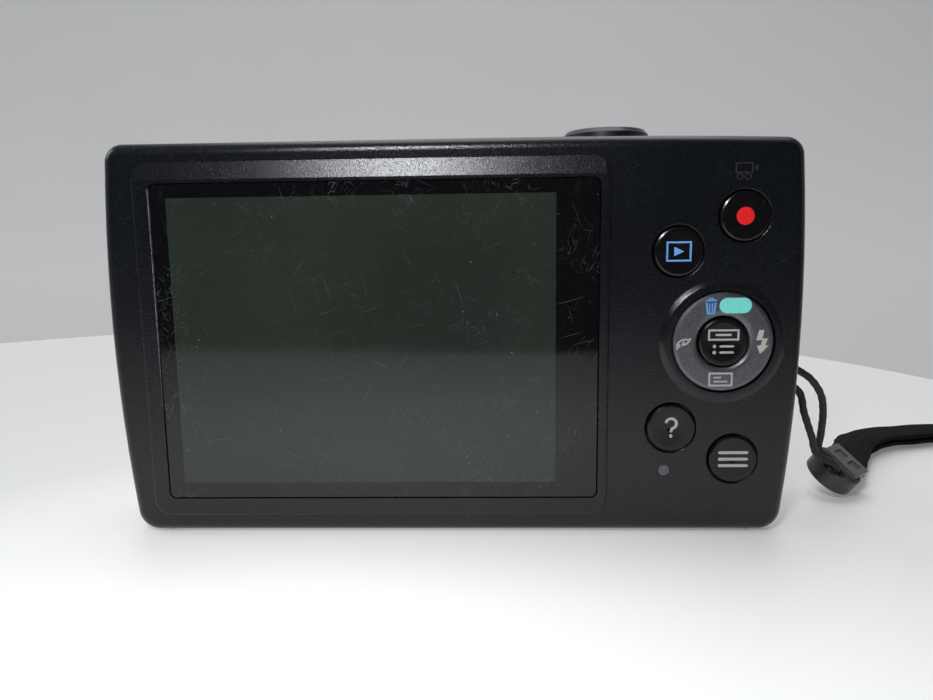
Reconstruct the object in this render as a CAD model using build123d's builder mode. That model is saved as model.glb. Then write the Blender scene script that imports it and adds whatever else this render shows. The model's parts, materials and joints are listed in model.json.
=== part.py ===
"""Compact digital camera with a telescoping lens and a wrist strap.

Millimetres. X to the right as seen from the screen side, +Y towards the lens, +Z up.
The origin is on the flat underside, at the middle of the body.
"""

import math
import os

from build123d import *

# ---------------------------------------------------------------- driving sizes
WIDTH = 97.7
HEIGHT = 55.8
DEPTH = 19.8
WALL = 1.3
SEAM_Y = -1.0
SEAM_GAP = 0.1
WIDEST_Z = 33.0
SIDE_RADIUS = 260.0
TOP_CORNER = 2.6
TOP_DROP = 0.6
DROP_START_X = 14.0
BOTTOM_CORNER = 3.2
FOOT_HEIGHT = 0.3

FRONT_Y = DEPTH / 2
PLATEAU_Y = -DEPTH / 2
REAR_Y = PLATEAU_Y + 0.8
FRONT_INSIDE_Y = FRONT_Y - WALL
REAR_INSIDE_Y = REAR_Y + 1.2
REAR_ROUND = 1.6
FRONT_ROUND = 3.0

# screen side
PLATEAU_X = (-43.9, 21.9)
PLATEAU_Z = (2.7, 53.1)
WINDOW_X = (-41.3, 20.4)
WINDOW_Z = (5.45, 50.15)
WINDOW_THICK = 1.0
TAPE_THICK = 0.15
SCREEN_CENTRE = (-12.5, 28.0)
LCD_SIZE = (55.6, 42.6)
FIT_GAP = 0.1

# controls: centre (x, z)
MOVIE_AT = (40.0, 44.75)
PLAYBACK_AT = (31.2, 40.1)
HELP_AT = (30.8, 15.4)
MENU_AT = (39.6, 10.85)
RING_AT = (37.6, 27.6)
LIGHT_AT = (30.0, 9.15)
CAP_R = 3.38
CAP_PROUD = 0.35
FLANGE_R = 4.2
RING_R = 6.95
RING_BORE_R = 3.6
COLLAR_R = 8.7
COLLAR_PROUD = 0.42
KEY_GAP = 0.16
RIM_ROUND = 0.25
KEY_SHEET_Y = -6.3

# lens
LENS_AT = (-10.0, 27.0)
BASE_R = 17.2
BASE_BORE_R = 15.6
TRIM_R = 18.0
BARREL_WALLS = ((15.3, 13.75), (13.3, 11.75), (11.5, 10.4))
APERTURE_R = 4.2
BLADE_PIVOT = 7.4
FLOOR_Y = -2.8

# front parts: centre (x, z)
FLASH_X = (13.5, 24.5)
FLASH_Z = (42.7, 49.3)
FLASH_TUBE_AT = (6.2, 46.0)
LAMP_AT = (9.0, 49.0)
SPEAKER_AT = (-38.0, 45.0)
MICROPHONE_AT = (-1.0, 50.0)
MOTOR_AT = (4.9, 12.1)

# top controls
SHUTTER_X = 22.4
POWER_X = 9.5
LEVER_R = 6.15

# battery side
BATTERY_X = (10.2, 44.0)
BATTERY_Y = (-3.0, 2.2)
BATTERY_Z = (3.0, 43.0)
BOX_WALL = 0.7
CARD_X = (12.2, 36.2)
CARD_Y = (3.35, 5.45)
CARD_Z = (3.2, 35.2)
DOOR_X0 = 8.0
DOOR_Y = (-4.2, 5.4)
DOOR_TOP = 2.6
DOOR_GAP = 0.15
HINGE_Y = 7.2
HINGE_Z = 1.6
PIN_R = 0.5
RUN_GAP = 0.06
BARREL_CUT_R = 1.93
DOOR_END_CUT_R = 2.38

# left side
TERMINAL_Z = (29.0, 40.0)
TERMINAL_HINGE = (-47.45, 5.2)
TERMINAL_BARREL_R = 1.38
TERMINAL_CUT_R = 1.82
CAPACITOR_AT = (-33.4, 3.4)

# strap
BAR_AT = (47.3, 22.5)
BAR_Y = (1.0, 7.0)
BAR_R = 0.7
CORD_R = 0.5
TRIPOD_X = -10.4
TRIPOD_BORE_R = 2.55

SCREW_Y = -4.5
BOTTOM_SCREW_X = (-38.0, -26.0)
SIDE_SCREWS = ((-1, 12.0), (-1, 46.0), (1, 12.0), (1, 50.0))
SCREW_HEAD_R = 1.25
SCREW_SHAFT_R = 0.6

os.makedirs("parts", exist_ok=True)


# ---------------------------------------------------------------- helpers
def rear_plane(y):
    """Upright plane at y: local x is X, local y is Z, and extruding goes towards the screen side."""
    return Plane(origin=(0, y, 0), x_dir=(1, 0, 0), z_dir=(0, -1, 0))


def side_plane(x):
    """Upright plane at x: local x is Y, local y is Z, and extruding goes towards +X."""
    return Plane(origin=(x, 0, 0), x_dir=(0, 1, 0), z_dir=(1, 0, 0))


def half_width(z):
    """Half the body's width at height z: the sides bulge gently."""
    return WIDTH / 2 - (z - WIDEST_Z) ** 2 / (2 * SIDE_RADIUS)


def body_face(inset=0.0):
    """Front view of the body, pulled in by inset; the top edge falls slightly at the key side."""
    low, high = inset, HEIGHT - inset
    foot, head = half_width(0) - inset, half_width(HEIGHT) - inset
    with BuildSketch(mode=Mode.PRIVATE) as face:
        with BuildLine():
            Line((-foot, low), (foot, low))
            ThreePointArc((foot, low), (WIDTH / 2 - inset, WIDEST_Z), (head, high - TOP_DROP))
            TangentArc((DROP_START_X, high), (head, high - TOP_DROP), tangent=(1, 0))
            Line((DROP_START_X, high), (-head, high))
            ThreePointArc((-head, high), (-WIDTH / 2 + inset, WIDEST_Z), (-foot, low))
        make_face()
        fillet(face.vertices().group_by(Axis.Y)[0], max(BOTTOM_CORNER - inset, 0.6))
        heads = [v for v in face.vertices() if v.Y > HEIGHT / 2 and abs(v.X) > DROP_START_X + 1]
        fillet(heads, max(TOP_CORNER - inset, 0.6))
    add(face.sketch)


def span(x, z, clear=0.0):
    """Upright rectangle between two x and two z values, drawn into the current sketch."""
    with Locations(((x[0] + x[1]) / 2, (z[0] + z[1]) / 2)):
        return Rectangle(x[1] - x[0] + 2 * clear, z[1] - z[0] + 2 * clear)


def block(x, y, z, mode=Mode.ADD):
    """Box between two corners given as (low, high) pairs."""
    with Locations(((x[0] + x[1]) / 2, (y[0] + y[1]) / 2, (z[0] + z[1]) / 2)):
        Box(x[1] - x[0], y[1] - y[0], z[1] - z[0], mode=mode)


def rod_y(at, r, y, mode=Mode.ADD):
    """Round bar along Y at (x, z) between two y values."""
    with BuildSketch(rear_plane(max(y))) as disc:
        with Locations(at):
            Circle(r)
    extrude(disc.sketch, amount=abs(y[1] - y[0]), mode=mode)


def rod_x(y, z, r, x, mode=Mode.ADD):
    """Round bar along X at (y, z) between two x values."""
    with BuildSketch(side_plane(x[0])) as disc:
        with Locations((y, z)):
            Circle(r)
    extrude(disc.sketch, amount=x[1] - x[0], mode=mode)


def rod_z(x, y, r, z, mode=Mode.ADD):
    """Round bar along Z at (x, y) between two z values."""
    with BuildSketch(Plane.XY.offset(z[0])) as disc:
        with Locations((x, y)):
            Circle(r)
    extrude(disc.sketch, amount=z[1] - z[0], mode=mode)


def turned_y(at, outline):
    """Body of revolution about a Y axis through (x, z), from (radius, y) points."""
    plane = Plane(origin=(at[0], 0, at[1]), x_dir=(1, 0, 0), z_dir=(0, 0, 1))
    with BuildSketch(plane) as section:
        with BuildLine():
            Polyline(*outline, close=True)
        make_face()
    revolve(section.sketch, axis=Axis((at[0], 0, at[1]), (0, 1, 0)))


def turned_z(x, y, outline):
    """Body of revolution about a Z axis through (x, y), from (radius, z) points."""
    plane = Plane(origin=(x, y, 0), x_dir=(1, 0, 0), z_dir=(0, -1, 0))
    with BuildSketch(plane) as section:
        with BuildLine():
            Polyline(*outline, close=True)
        make_face()
    revolve(section.sketch, axis=Axis((x, y, 0), (0, 0, 1)))


def save(piece, name):
    piece.part.label = name
    export_step(piece.part, f"parts/{name}.step")


def screw_places():
    """Head centre and inward direction of every case screw."""
    places = [((x, SCREW_Y, 0.15), (0, 0, 1)) for x in BOTTOM_SCREW_X]
    for side, z in SIDE_SCREWS:
        places.append(((side * (half_width(z) - 0.2), SCREW_Y, z), (-side, 0, 0)))
    return places


def cut_screw_holes():
    """Head recesses and shaft holes for the case screws, cut from the current part."""
    for place, inward in screw_places():
        outer = tuple(p - 1.5 * d for p, d in zip(place, inward))
        with BuildSketch(Plane(origin=outer, z_dir=inward)) as head:
            Circle(SCREW_HEAD_R + FIT_GAP)
        extrude(head.sketch, amount=2.25, mode=Mode.SUBTRACT)
        with BuildSketch(Plane(origin=place, z_dir=inward)) as shaft:
            Circle(SCREW_SHAFT_R + FIT_GAP)
        extrude(shaft.sketch, amount=2.2, mode=Mode.SUBTRACT)


def cut_door_opening():
    """Opening for the battery door, with room for the hinge barrel and for the slide."""
    block((DOOR_X0 - DOOR_GAP, 43.25), (DOOR_Y[0] - DOOR_GAP, HINGE_Y), (-1, DOOR_TOP + DOOR_GAP),
          Mode.SUBTRACT)
    block((43.2, 50), (DOOR_Y[0] - DOOR_GAP, DOOR_Y[1] + DOOR_GAP), (-1, DOOR_TOP + DOOR_GAP),
          Mode.SUBTRACT)
    rod_x(HINGE_Y, HINGE_Z, BARREL_CUT_R, (DOOR_X0 - DOOR_GAP, 43.25), Mode.SUBTRACT)
    rod_x(HINGE_Y, HINGE_Z, PIN_R + 0.1, (43.2, 45.6), Mode.SUBTRACT)


def cut_top_holes():
    """Holes in the top wall for the zoom lever hub and the power button."""
    rod_z(SHUTTER_X, 0, 4.75, (50, 60), Mode.SUBTRACT)
    rod_z(SHUTTER_X, 0, LEVER_R + 0.25, (HEIGHT - 0.25, 60), Mode.SUBTRACT)
    rod_z(POWER_X, 0, 2.35, (50, 60), Mode.SUBTRACT)


# ---------------------------------------------------------------- casing
with BuildPart() as rear_cover:
    with BuildSketch(rear_plane(SEAM_Y - SEAM_GAP)):
        body_face()
    extrude(amount=SEAM_Y - SEAM_GAP - REAR_Y)
    fillet(rear_cover.faces().sort_by(Axis.Y)[0].edges(), REAR_ROUND)
    # raised surround of the screen
    with BuildSketch(rear_plane(REAR_Y + 0.1)) as surround:
        span(PLATEAU_X, PLATEAU_Z)
        fillet(surround.vertices(), 2.5)
    extrude(amount=REAR_Y + 0.1 - PLATEAU_Y)
    fillet(rear_cover.faces().sort_by(Axis.Y)[0].edges(), 0.55)
    # its upper strip leans forward
    with BuildSketch(side_plane(-50)):
        with BuildLine():
            Polyline((PLATEAU_Y - 0.2, 50.5), (PLATEAU_Y - 0.2, 54.5), (REAR_Y - 0.12, 53.6),
                     (PLATEAU_Y, 50.7), close=True)
        make_face()
    extrude(amount=71.0, mode=Mode.SUBTRACT)
    # hollow inside
    with BuildSketch(rear_plane(SEAM_Y)):
        body_face(WALL)
    extrude(amount=SEAM_Y - REAR_INSIDE_Y, mode=Mode.SUBTRACT)
    # seat of the window plate, then the opening of the screen
    with BuildSketch(rear_plane(PLATEAU_Y + WINDOW_THICK + TAPE_THICK + 0.05)) as seat:
        span(WINDOW_X, WINDOW_Z, FIT_GAP)
        fillet(seat.vertices(), 1.0)
    extrude(amount=5, mode=Mode.SUBTRACT)
    with BuildSketch(rear_plane(-7)):
        with Locations(SCREEN_CENTRE):
            Rectangle(LCD_SIZE[0] + 0.3, LCD_SIZE[1] + 0.3)
    extrude(amount=5, mode=Mode.SUBTRACT)
    # holes of the keys, each with a rounded rim
    for centre in (MOVIE_AT, PLAYBACK_AT, HELP_AT, MENU_AT):
        rod_y(centre, CAP_R + KEY_GAP, (-12, -7), Mode.SUBTRACT)
        rims = [e for e in rear_cover.edges().filter_by(GeomType.CIRCLE)
                if abs(e.radius - CAP_R - KEY_GAP) < 0.01 and abs(e.center().Y - REAR_Y) < 0.01
                and abs(e.arc_center.X - centre[0]) < 0.01 and abs(e.arc_center.Z - centre[1]) < 0.01]
        fillet(rims, RIM_ROUND)
    # low rounded collar round the four-way ring
    collar_steps = ((0.5, 1.0), (0.85, 0.95), (1.15, 0.8), (1.4, 0.5))
    collar_curve = [(RING_R + out, REAR_Y - COLLAR_PROUD * rise) for out, rise in collar_steps]
    turned_y(RING_AT, [(RING_R - 1, REAR_Y + 0.3), (RING_R - 1, REAR_Y - COLLAR_PROUD), *collar_curve,
                       (COLLAR_R, REAR_Y), (COLLAR_R, REAR_Y + 0.3)])
    rod_y(RING_AT, RING_R + 0.22, (-12, -7), Mode.SUBTRACT)
    rod_y(LIGHT_AT, 0.85, (-12, -7), Mode.SUBTRACT)
    # feet
    for x in (-42.6, 42.6):
        rod_z(x, -6.2, 1.0, (-FOOT_HEIGHT, 0.3))
    rod_z(TRIPOD_X, 0, 5.65, (-1, 3), Mode.SUBTRACT)
    cut_top_holes()
    cut_door_opening()
    cut_screw_holes()
save(rear_cover, "rear_cover")

with BuildPart() as front_cover:
    with BuildSketch(rear_plane(FRONT_Y)):
        body_face()
    extrude(amount=FRONT_Y - SEAM_Y)
    fillet(front_cover.faces().sort_by(Axis.Y)[-1].edges(), FRONT_ROUND)
    with BuildSketch(rear_plane(FRONT_INSIDE_Y)):
        body_face(WALL)
    extrude(amount=20, mode=Mode.SUBTRACT)
    # walls of the strap recess
    block((45.0, 48.0), BAR_Y, (17.6, 27.4))
    block((45.4, 52.0), (BAR_Y[0] + 0.6, BAR_Y[1] - 0.6), (18.2, 26.8), Mode.SUBTRACT)
    rod_y(BAR_AT, BAR_R + 0.02, BAR_Y, Mode.SUBTRACT)
    # lens opening, flash window, lamp lens, sound holes
    rod_y(LENS_AT, BASE_BORE_R + 0.15, (5, 12), Mode.SUBTRACT)
    with BuildSketch(rear_plane(FRONT_Y + 1)) as flash_hole:
        span(FLASH_X, FLASH_Z, FIT_GAP)
        fillet(flash_hole.vertices(), 1.1)
    extrude(amount=4, mode=Mode.SUBTRACT)
    rod_y(LAMP_AT, 2.5, (5, 12), Mode.SUBTRACT)
    with BuildSketch(rear_plane(FRONT_Y + 1)):
        with Locations(SPEAKER_AT):
            with GridLocations(1.6, 1.6, 4, 3):
                Circle(0.4)
        with Locations(MICROPHONE_AT):
            with GridLocations(1.6, 1, 2, 1):
                Circle(0.35)
    extrude(amount=4, mode=Mode.SUBTRACT)
    # opening of the connector cover, with room for its hinge barrel
    block((-52, -46.4), (-0.6, TERMINAL_HINGE[1]), (TERMINAL_Z[0] - 0.12, TERMINAL_Z[1] + 0.12),
          Mode.SUBTRACT)
    rod_z(*TERMINAL_HINGE, TERMINAL_CUT_R, (TERMINAL_Z[0] - 0.12, TERMINAL_Z[1] + 0.12), Mode.SUBTRACT)
    rod_z(*TERMINAL_HINGE, 0.42, (TERMINAL_Z[0] - 1.0, TERMINAL_Z[1] + 1.0), Mode.SUBTRACT)
    rod_z(-42.6, 5.6, 1.0, (-FOOT_HEIGHT, 0.3))
    rod_z(TRIPOD_X, 0, 5.65, (-1, 3), Mode.SUBTRACT)
    cut_top_holes()
    cut_door_opening()
save(front_cover, "front_cover")

with BuildPart() as display_window:
    with BuildSketch(rear_plane(PLATEAU_Y + WINDOW_THICK)) as plate:
        span(WINDOW_X, WINDOW_Z)
        fillet(plate.vertices(), 0.9)
    extrude(amount=WINDOW_THICK)
    chamfer(display_window.faces().sort_by(Axis.Y)[0].edges(), 0.12)
save(display_window, "display_window")

with BuildPart() as window_tape:
    with BuildSketch(rear_plane(PLATEAU_Y + WINDOW_THICK + TAPE_THICK + 0.02)):
        span(WINDOW_X, WINDOW_Z, -0.15)
        with Locations(SCREEN_CENTRE):
            Rectangle(LCD_SIZE[0] + 0.4, LCD_SIZE[1] + 0.4, mode=Mode.SUBTRACT)
    extrude(amount=TAPE_THICK)
save(window_tape, "window_tape")

# ---------------------------------------------------------------- display
LCD_FRONT_Y = -6.6
with BuildPart() as lcd_panel:
    with BuildSketch(rear_plane(LCD_FRONT_Y)):
        with Locations(SCREEN_CENTRE):
            Rectangle(*LCD_SIZE)
    extrude(amount=2.05)
    chamfer(lcd_panel.edges().filter_by(Axis.Y), 0.4)
save(lcd_panel, "lcd_panel")

with BuildPart() as lcd_frame:
    with BuildSketch(rear_plane(LCD_FRONT_Y + 0.4)):
        with Locations(SCREEN_CENTRE):
            Rectangle(57.2, 44.2)
    extrude(amount=1.6)
    with BuildSketch(rear_plane(LCD_FRONT_Y + 0.1)):
        with Locations(SCREEN_CENTRE):
            Rectangle(56.4, 43.4)
    extrude(amount=3, mode=Mode.SUBTRACT)
    with BuildSketch(rear_plane(LCD_FRONT_Y + 1)):
        with Locations(SCREEN_CENTRE):
            with GridLocations(18, 20, 3, 2):
                RectangleRounded(13, 14, 2)
    extrude(amount=3, mode=Mode.SUBTRACT)
save(lcd_frame, "lcd_frame")

# ---------------------------------------------------------------- frame and boards
CHASSIS_Y = (-5.6, -5.2)
with BuildPart() as main_chassis:
    with BuildSketch(rear_plane(CHASSIS_Y[1])) as sheet:
        span((-45.0, 45.0), (3.6, 52.6))
        fillet(sheet.vertices(), 2)
        with Locations((-10, 27)):
            Circle(6.5, mode=Mode.SUBTRACT)
        with Locations((-36, 14), (-36, 40), (6, 45), (12, 10)):
            RectangleRounded(9, 7, 1.5, mode=Mode.SUBTRACT)
        with Locations((-41, 27), (20, 27), (42.5, 27)):
            Circle(1.6, mode=Mode.SUBTRACT)
    extrude(amount=CHASSIS_Y[1] - CHASSIS_Y[0])
    # bent tabs that take the case screws
    for x in BOTTOM_SCREW_X:
        block((x - 2, x + 2), (CHASSIS_Y[0], -3.2), (1.7, 2.2))
        block((x - 2, x + 2), CHASSIS_Y, (1.7, 4.0))
    for side, z in SIDE_SCREWS:
        inner = half_width(z) - WALL - 0.7
        low, high = sorted((side * (inner - 0.5), side * inner))
        block((low, high), (CHASSIS_Y[0], -3.2), (z - 1.8, z + 1.8))
        low, high = sorted((side * 43.0, side * inner))
        block((low, high), CHASSIS_Y, (z - 1.8, z + 1.8))
    for place, inward in screw_places():
        with BuildSketch(Plane(origin=place, z_dir=inward)):
            Circle(SCREW_SHAFT_R + 0.05)
        extrude(amount=4, mode=Mode.SUBTRACT)
save(main_chassis, "main_chassis")

with BuildPart() as key_board:
    with BuildSketch(rear_plane(KEY_SHEET_Y + 0.6)) as board:
        span((24.6, 45.2), (5.6, 50.4))
        fillet(board.vertices(), 1.5)
    extrude(amount=0.6)
save(key_board, "key_board")

with BuildPart() as key_dome_sheet:
    with BuildSketch(rear_plane(KEY_SHEET_Y - 0.01)) as film:
        span((25.6, 44.4), (6.6, 49.4))
        fillet(film.vertices(), 1.5)
    extrude(amount=0.05)
    ring_domes = [(RING_AT[0] + 6.4 * dx, RING_AT[1] + 6.4 * dz)
                  for dx, dz in ((1, 0), (-1, 0), (0, 1), (0, -1))]
    for centre in [MOVIE_AT, PLAYBACK_AT, HELP_AT, MENU_AT, RING_AT] + ring_domes:
        with Locations(Plane(origin=(centre[0], KEY_SHEET_Y - 0.175, centre[1]), z_dir=(0, -1, 0))):
            Cone(0.9, 0.55, 0.25)
save(key_dome_sheet, "key_dome_sheet")

with BuildPart() as status_light_pipe:
    rod_y(LIGHT_AT, 0.78, (-7.3, REAR_Y))
    rod_y(LIGHT_AT, 1.3, (-7.3, -7.8))
save(status_light_pipe, "status_light_pipe")

with BuildPart() as main_board:
    with BuildSketch(rear_plane(-4.2)) as board:
        span((9.6, 43.6), (4.6, 51.6))
        fillet(board.vertices(), 1)
    extrude(amount=0.8)
    block((14, 24), (-4.25, -3.8), (22, 32))
    block((28, 36), (-4.25, -3.8), (24, 31))
    block((26, 33), (-4.25, -3.8), (10, 15))
save(main_board, "main_board")

with BuildPart() as flash_board:
    with BuildSketch(rear_plane(-0.8)) as board:
        span((-45.6, -28.4), (6, 50))
        fillet(board.vertices(), 1)
    extrude(amount=0.8)
    block((-44, -38), (-0.85, 2.2), (10, 16))
    block((-44, -40), (-0.85, 1.4), (19, 24))
save(flash_board, "flash_board")

with BuildPart() as flash_capacitor:
    rod_z(*CAPACITOR_AT, 4.0, (9.5, 36.5))
    rod_z(*CAPACITOR_AT, 3.4, (36.4, 37.5))
    fillet(flash_capacitor.edges().filter_by(GeomType.CIRCLE).sort_by(Axis.Z)[:1], 0.6)
save(flash_capacitor, "flash_capacitor")

with BuildPart() as flash_window:
    with BuildSketch(rear_plane(FRONT_Y - 0.05)) as lens_plate:
        span(FLASH_X, FLASH_Z)
        fillet(lens_plate.vertices(), 1.0)
    extrude(amount=1.4)
    # vertical prisms on the inner face
    for i in range(9):
        with BuildSketch(Plane.XY.offset(43.4)):
            with Locations((14.8 + i * 1.05, 8.46)):
                Circle(0.35)
        extrude(amount=5.2)
save(flash_window, "flash_window")

with BuildPart() as flash_reflector:
    block((13.6, 24.4), (4.4, 7.9), (42.9, 49.1))
    with BuildSketch(side_plane(14.2)):
        with BuildLine():
            Line((8.5, 43.3), (8.5, 48.7))
            ThreePointArc((8.5, 48.7), (4.8, 46.0), (8.5, 43.3))
        make_face()
    extrude(amount=9.6, mode=Mode.SUBTRACT)
    rod_x(*FLASH_TUBE_AT, 1.05, (13, 25), Mode.SUBTRACT)
save(flash_reflector, "flash_reflector")

with BuildPart() as flash_tube:
    rod_x(*FLASH_TUBE_AT, 0.95, (13.0, 25.0))
    rod_x(*FLASH_TUBE_AT, 0.4, (12.0, 26.0))
save(flash_tube, "flash_tube")

with BuildPart() as af_lamp_lens:
    rod_y(LAMP_AT, 2.4, (7.4, FRONT_Y - 0.1))
    rod_y(LAMP_AT, 3.0, (7.4, 8.5))
    fillet(af_lamp_lens.edges().filter_by(GeomType.CIRCLE).sort_by(Axis.Y)[-1:], 0.5)
save(af_lamp_lens, "af_lamp_lens")

with BuildPart() as speaker:
    rod_y(SPEAKER_AT, 5.0, (5.6, 8.5))
    rod_y(SPEAKER_AT, 4.2, (8.0, 9.0), Mode.SUBTRACT)
    rod_y(SPEAKER_AT, 3.2, (4.8, 5.7))
save(speaker, "speaker")

with BuildPart() as microphone:
    rod_y(MICROPHONE_AT, 2.0, (6.2, 8.5))
    rod_y(MICROPHONE_AT, 1.2, (5.6, 6.3))
save(microphone, "microphone")

with BuildPart() as usb_connector:
    block((-46.3, -38.6), (-0.75, 3.05), (30.6, 38.4))
    block((-47.0, -39.4), (-0.35, 2.65), (31.0, 38.0), Mode.SUBTRACT)
    block((-45.6, -39.0), (0.8, 1.5), (32.2, 36.8))
save(usb_connector, "usb_connector")

with BuildPart() as tripod_bush:
    rod_z(TRIPOD_X, 0, 5.5, (-FOOT_HEIGHT, 1.6))
    rod_z(TRIPOD_X, 0, 4.1, (1.5, 7.0))
    rod_z(TRIPOD_X, 0, TRIPOD_BORE_R, (-1.0, 5.5), Mode.SUBTRACT)
    fillet(tripod_bush.edges().filter_by(GeomType.CIRCLE).sort_by(Axis.Z)[1:2], 0.15)
save(tripod_bush, "tripod_bush")

with BuildPart() as strap_bar:
    rod_y(BAR_AT, BAR_R, BAR_Y)
save(strap_bar, "strap_bar")

with BuildPart() as case_screws:
    for place, inward in screw_places():
        with BuildSketch(Plane(origin=place, z_dir=inward)):
            Circle(SCREW_HEAD_R)
        extrude(amount=0.65)
        with BuildSketch(Plane(origin=place, z_dir=inward)):
            Circle(SCREW_SHAFT_R)
        extrude(amount=3.4)
        with BuildSketch(Plane(origin=place, z_dir=inward)):
            Rectangle(1.5, 0.3)
            Rectangle(0.3, 1.5)
        extrude(amount=0.35, mode=Mode.SUBTRACT)
save(case_screws, "case_screws")

# ---------------------------------------------------------------- lens
with BuildPart() as lens_base:
    rod_y(LENS_AT, BASE_R, (-3.6, 8.4))
    rod_y(LENS_AT, BASE_BORE_R, (FLOOR_Y, 9.0), Mode.SUBTRACT)
    with BuildSketch(rear_plane(0)):
        with Locations(LENS_AT):
            Rectangle(9.4, 7.8)
    extrude(amount=5, mode=Mode.SUBTRACT)
    # ears with fixing holes, and the bracket of the zoom motor
    for dx, dz in ((-15.2, -12.0), (-15.2, 12.0), (13.5, 13.5)):
        ear = (LENS_AT[0] + dx, LENS_AT[1] + dz)
        rod_y(ear, 2.4, (-3.6, -2.2))
        rod_y(ear, 0.9, (-4, 0), Mode.SUBTRACT)
    rod_y(MOTOR_AT, 3.9, (-3.6, -2.4))
    rod_y(LENS_AT, BASE_BORE_R, (FLOOR_Y, 9.0), Mode.SUBTRACT)
    # guide rods of the focusing group
    for side in (-1, 1):
        rod_y((LENS_AT[0] + side * 7.2, LENS_AT[1]), 0.5, (FLOOR_Y - 0.2, 1.6))
save(lens_base, "lens_base")

with BuildPart() as zoom_motor:
    rod_y(MOTOR_AT, 3.0, (-2.35, 6.6))
    rod_y(MOTOR_AT, 0.6, (6.5, 8.0))
save(zoom_motor, "zoom_motor")

with BuildPart() as sensor_plate:
    with BuildSketch(rear_plane(-4.7)) as plate:
        with Locations(LENS_AT):
            RectangleRounded(20, 17, 1.5)
            with GridLocations(16, 13, 2, 2):
                Circle(0.8, mode=Mode.SUBTRACT)
    extrude(amount=0.4)
save(sensor_plate, "sensor_plate")

with BuildPart() as image_sensor:
    with BuildSketch(rear_plane(-3.7)):
        with Locations(LENS_AT):
            Rectangle(10.4, 9.0)
    extrude(amount=0.98)
    with BuildSketch(rear_plane(-3.3)):
        with Locations(LENS_AT):
            Rectangle(8.0, 6.4)
    extrude(amount=0.5)
save(image_sensor, "image_sensor")

with BuildPart() as lens_trim_ring:
    turned_y(LENS_AT, [(BASE_BORE_R + 0.1, FRONT_Y + 0.01), (TRIM_R, FRONT_Y + 0.01),
                       (TRIM_R, FRONT_Y + 0.5), (TRIM_R - 0.7, FRONT_Y + 1.5),
                       (BASE_BORE_R + 0.9, FRONT_Y + 1.5), (BASE_BORE_R + 0.1, FRONT_Y + 0.7)])
save(lens_trim_ring, "lens_trim_ring")

BARREL_BACK = -1.2


def barrel(outer, inner, front):
    """Plain barrel with an inward lip at its front."""
    turned_y(LENS_AT, [(outer, BARREL_BACK), (outer, front - 0.25), (outer - 0.25, front),
                       (inner - 0.2, front), (inner - 0.2, front - 1.0), (inner, front - 1.0),
                       (inner, BARREL_BACK)])


with BuildPart() as lens_outer_barrel:
    barrel(*BARREL_WALLS[0], 10.9)
save(lens_outer_barrel, "lens_outer_barrel")

with BuildPart() as lens_middle_barrel:
    barrel(*BARREL_WALLS[1], 10.75)
save(lens_middle_barrel, "lens_middle_barrel")

with BuildPart() as lens_inner_barrel:
    outer, inner = BARREL_WALLS[2]
    turned_y(LENS_AT, [(outer, BARREL_BACK), (outer, 10.3), (outer - 0.3, 10.6),
                       (APERTURE_R + 0.9, 10.6), (APERTURE_R, 9.9), (APERTURE_R, 9.8),
                       (inner, 9.8), (inner, BARREL_BACK)])
    turned_y(LENS_AT, [(5.0, 7.6), (inner + 0.2, 7.6), (inner + 0.2, 8.7), (4.0, 8.7), (4.0, 8.4),
                       (5.0, 8.4)])
    for side in (-1, 1):
        rod_y((LENS_AT[0], LENS_AT[1] + side * BLADE_PIVOT), 0.6, (8.6, 9.9))
save(lens_inner_barrel, "lens_inner_barrel")

with BuildPart() as front_lens_element:
    turned_y(LENS_AT, [(0, 6.4), (4.0, 6.6), (4.95, 7.2), (4.95, 8.35), (3.9, 8.37), (2.8, 8.55),
                       (0, 8.75)])
save(front_lens_element, "front_lens_element")

with BuildPart() as focus_lens_group:
    turned_y(LENS_AT, [(0, -2.7), (5.2, -2.7), (5.2, -1.5), (4.2, -1.5), (2.5, -1.3), (0, -1.2)])
    for side in (-1, 1):
        ear = (LENS_AT[0] + side * 7.2, LENS_AT[1])
        low, high = sorted((LENS_AT[0] + side * 4.8, ear[0]))
        block((low, high), (-2.7, -1.6), (ear[1] - 1.1, ear[1] + 1.1))
        rod_y(ear, 1.1, (-2.7, -1.6))
        rod_y(ear, 0.5 + RUN_GAP, (-3, 0), Mode.SUBTRACT)
save(focus_lens_group, "focus_lens_group")


def barrier_blade(side):
    """Half disc that closes one half of the aperture, with a tail to its pivot (side 1 up, -1 down)."""
    with BuildSketch(rear_plane(9.5)) as blade:
        with Locations(LENS_AT):
            with Locations((side * 2.5, 0)):
                Rectangle(4.94, 11)
            Circle(4.7, mode=Mode.INTERSECT)
            with Locations((side * 1.25, side * 5.4)):
                Rectangle(2.44, 4.0)
            with Locations((0, side * BLADE_PIVOT)):
                Circle(1.25)
                Circle(0.66, mode=Mode.SUBTRACT)
    extrude(blade.sketch, amount=0.5)


with BuildPart() as lens_barrier_right:
    barrier_blade(1)
save(lens_barrier_right, "lens_barrier_right")

with BuildPart() as lens_barrier_left:
    barrier_blade(-1)
save(lens_barrier_left, "lens_barrier_left")

# ---------------------------------------------------------------- battery side
BOX_X = (BATTERY_X[0] - 0.8, BATTERY_X[1] + 0.8)
BOX_Y = (BATTERY_Y[0] - BOX_WALL, BATTERY_Y[1] + BOX_WALL)
LUG_SPANS = ((8.6, 11.0), (41.0, 43.0))
LATCH_X = (37.8, 40.2)
LATCH_PIVOT = (4.1, 11.0)

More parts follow.
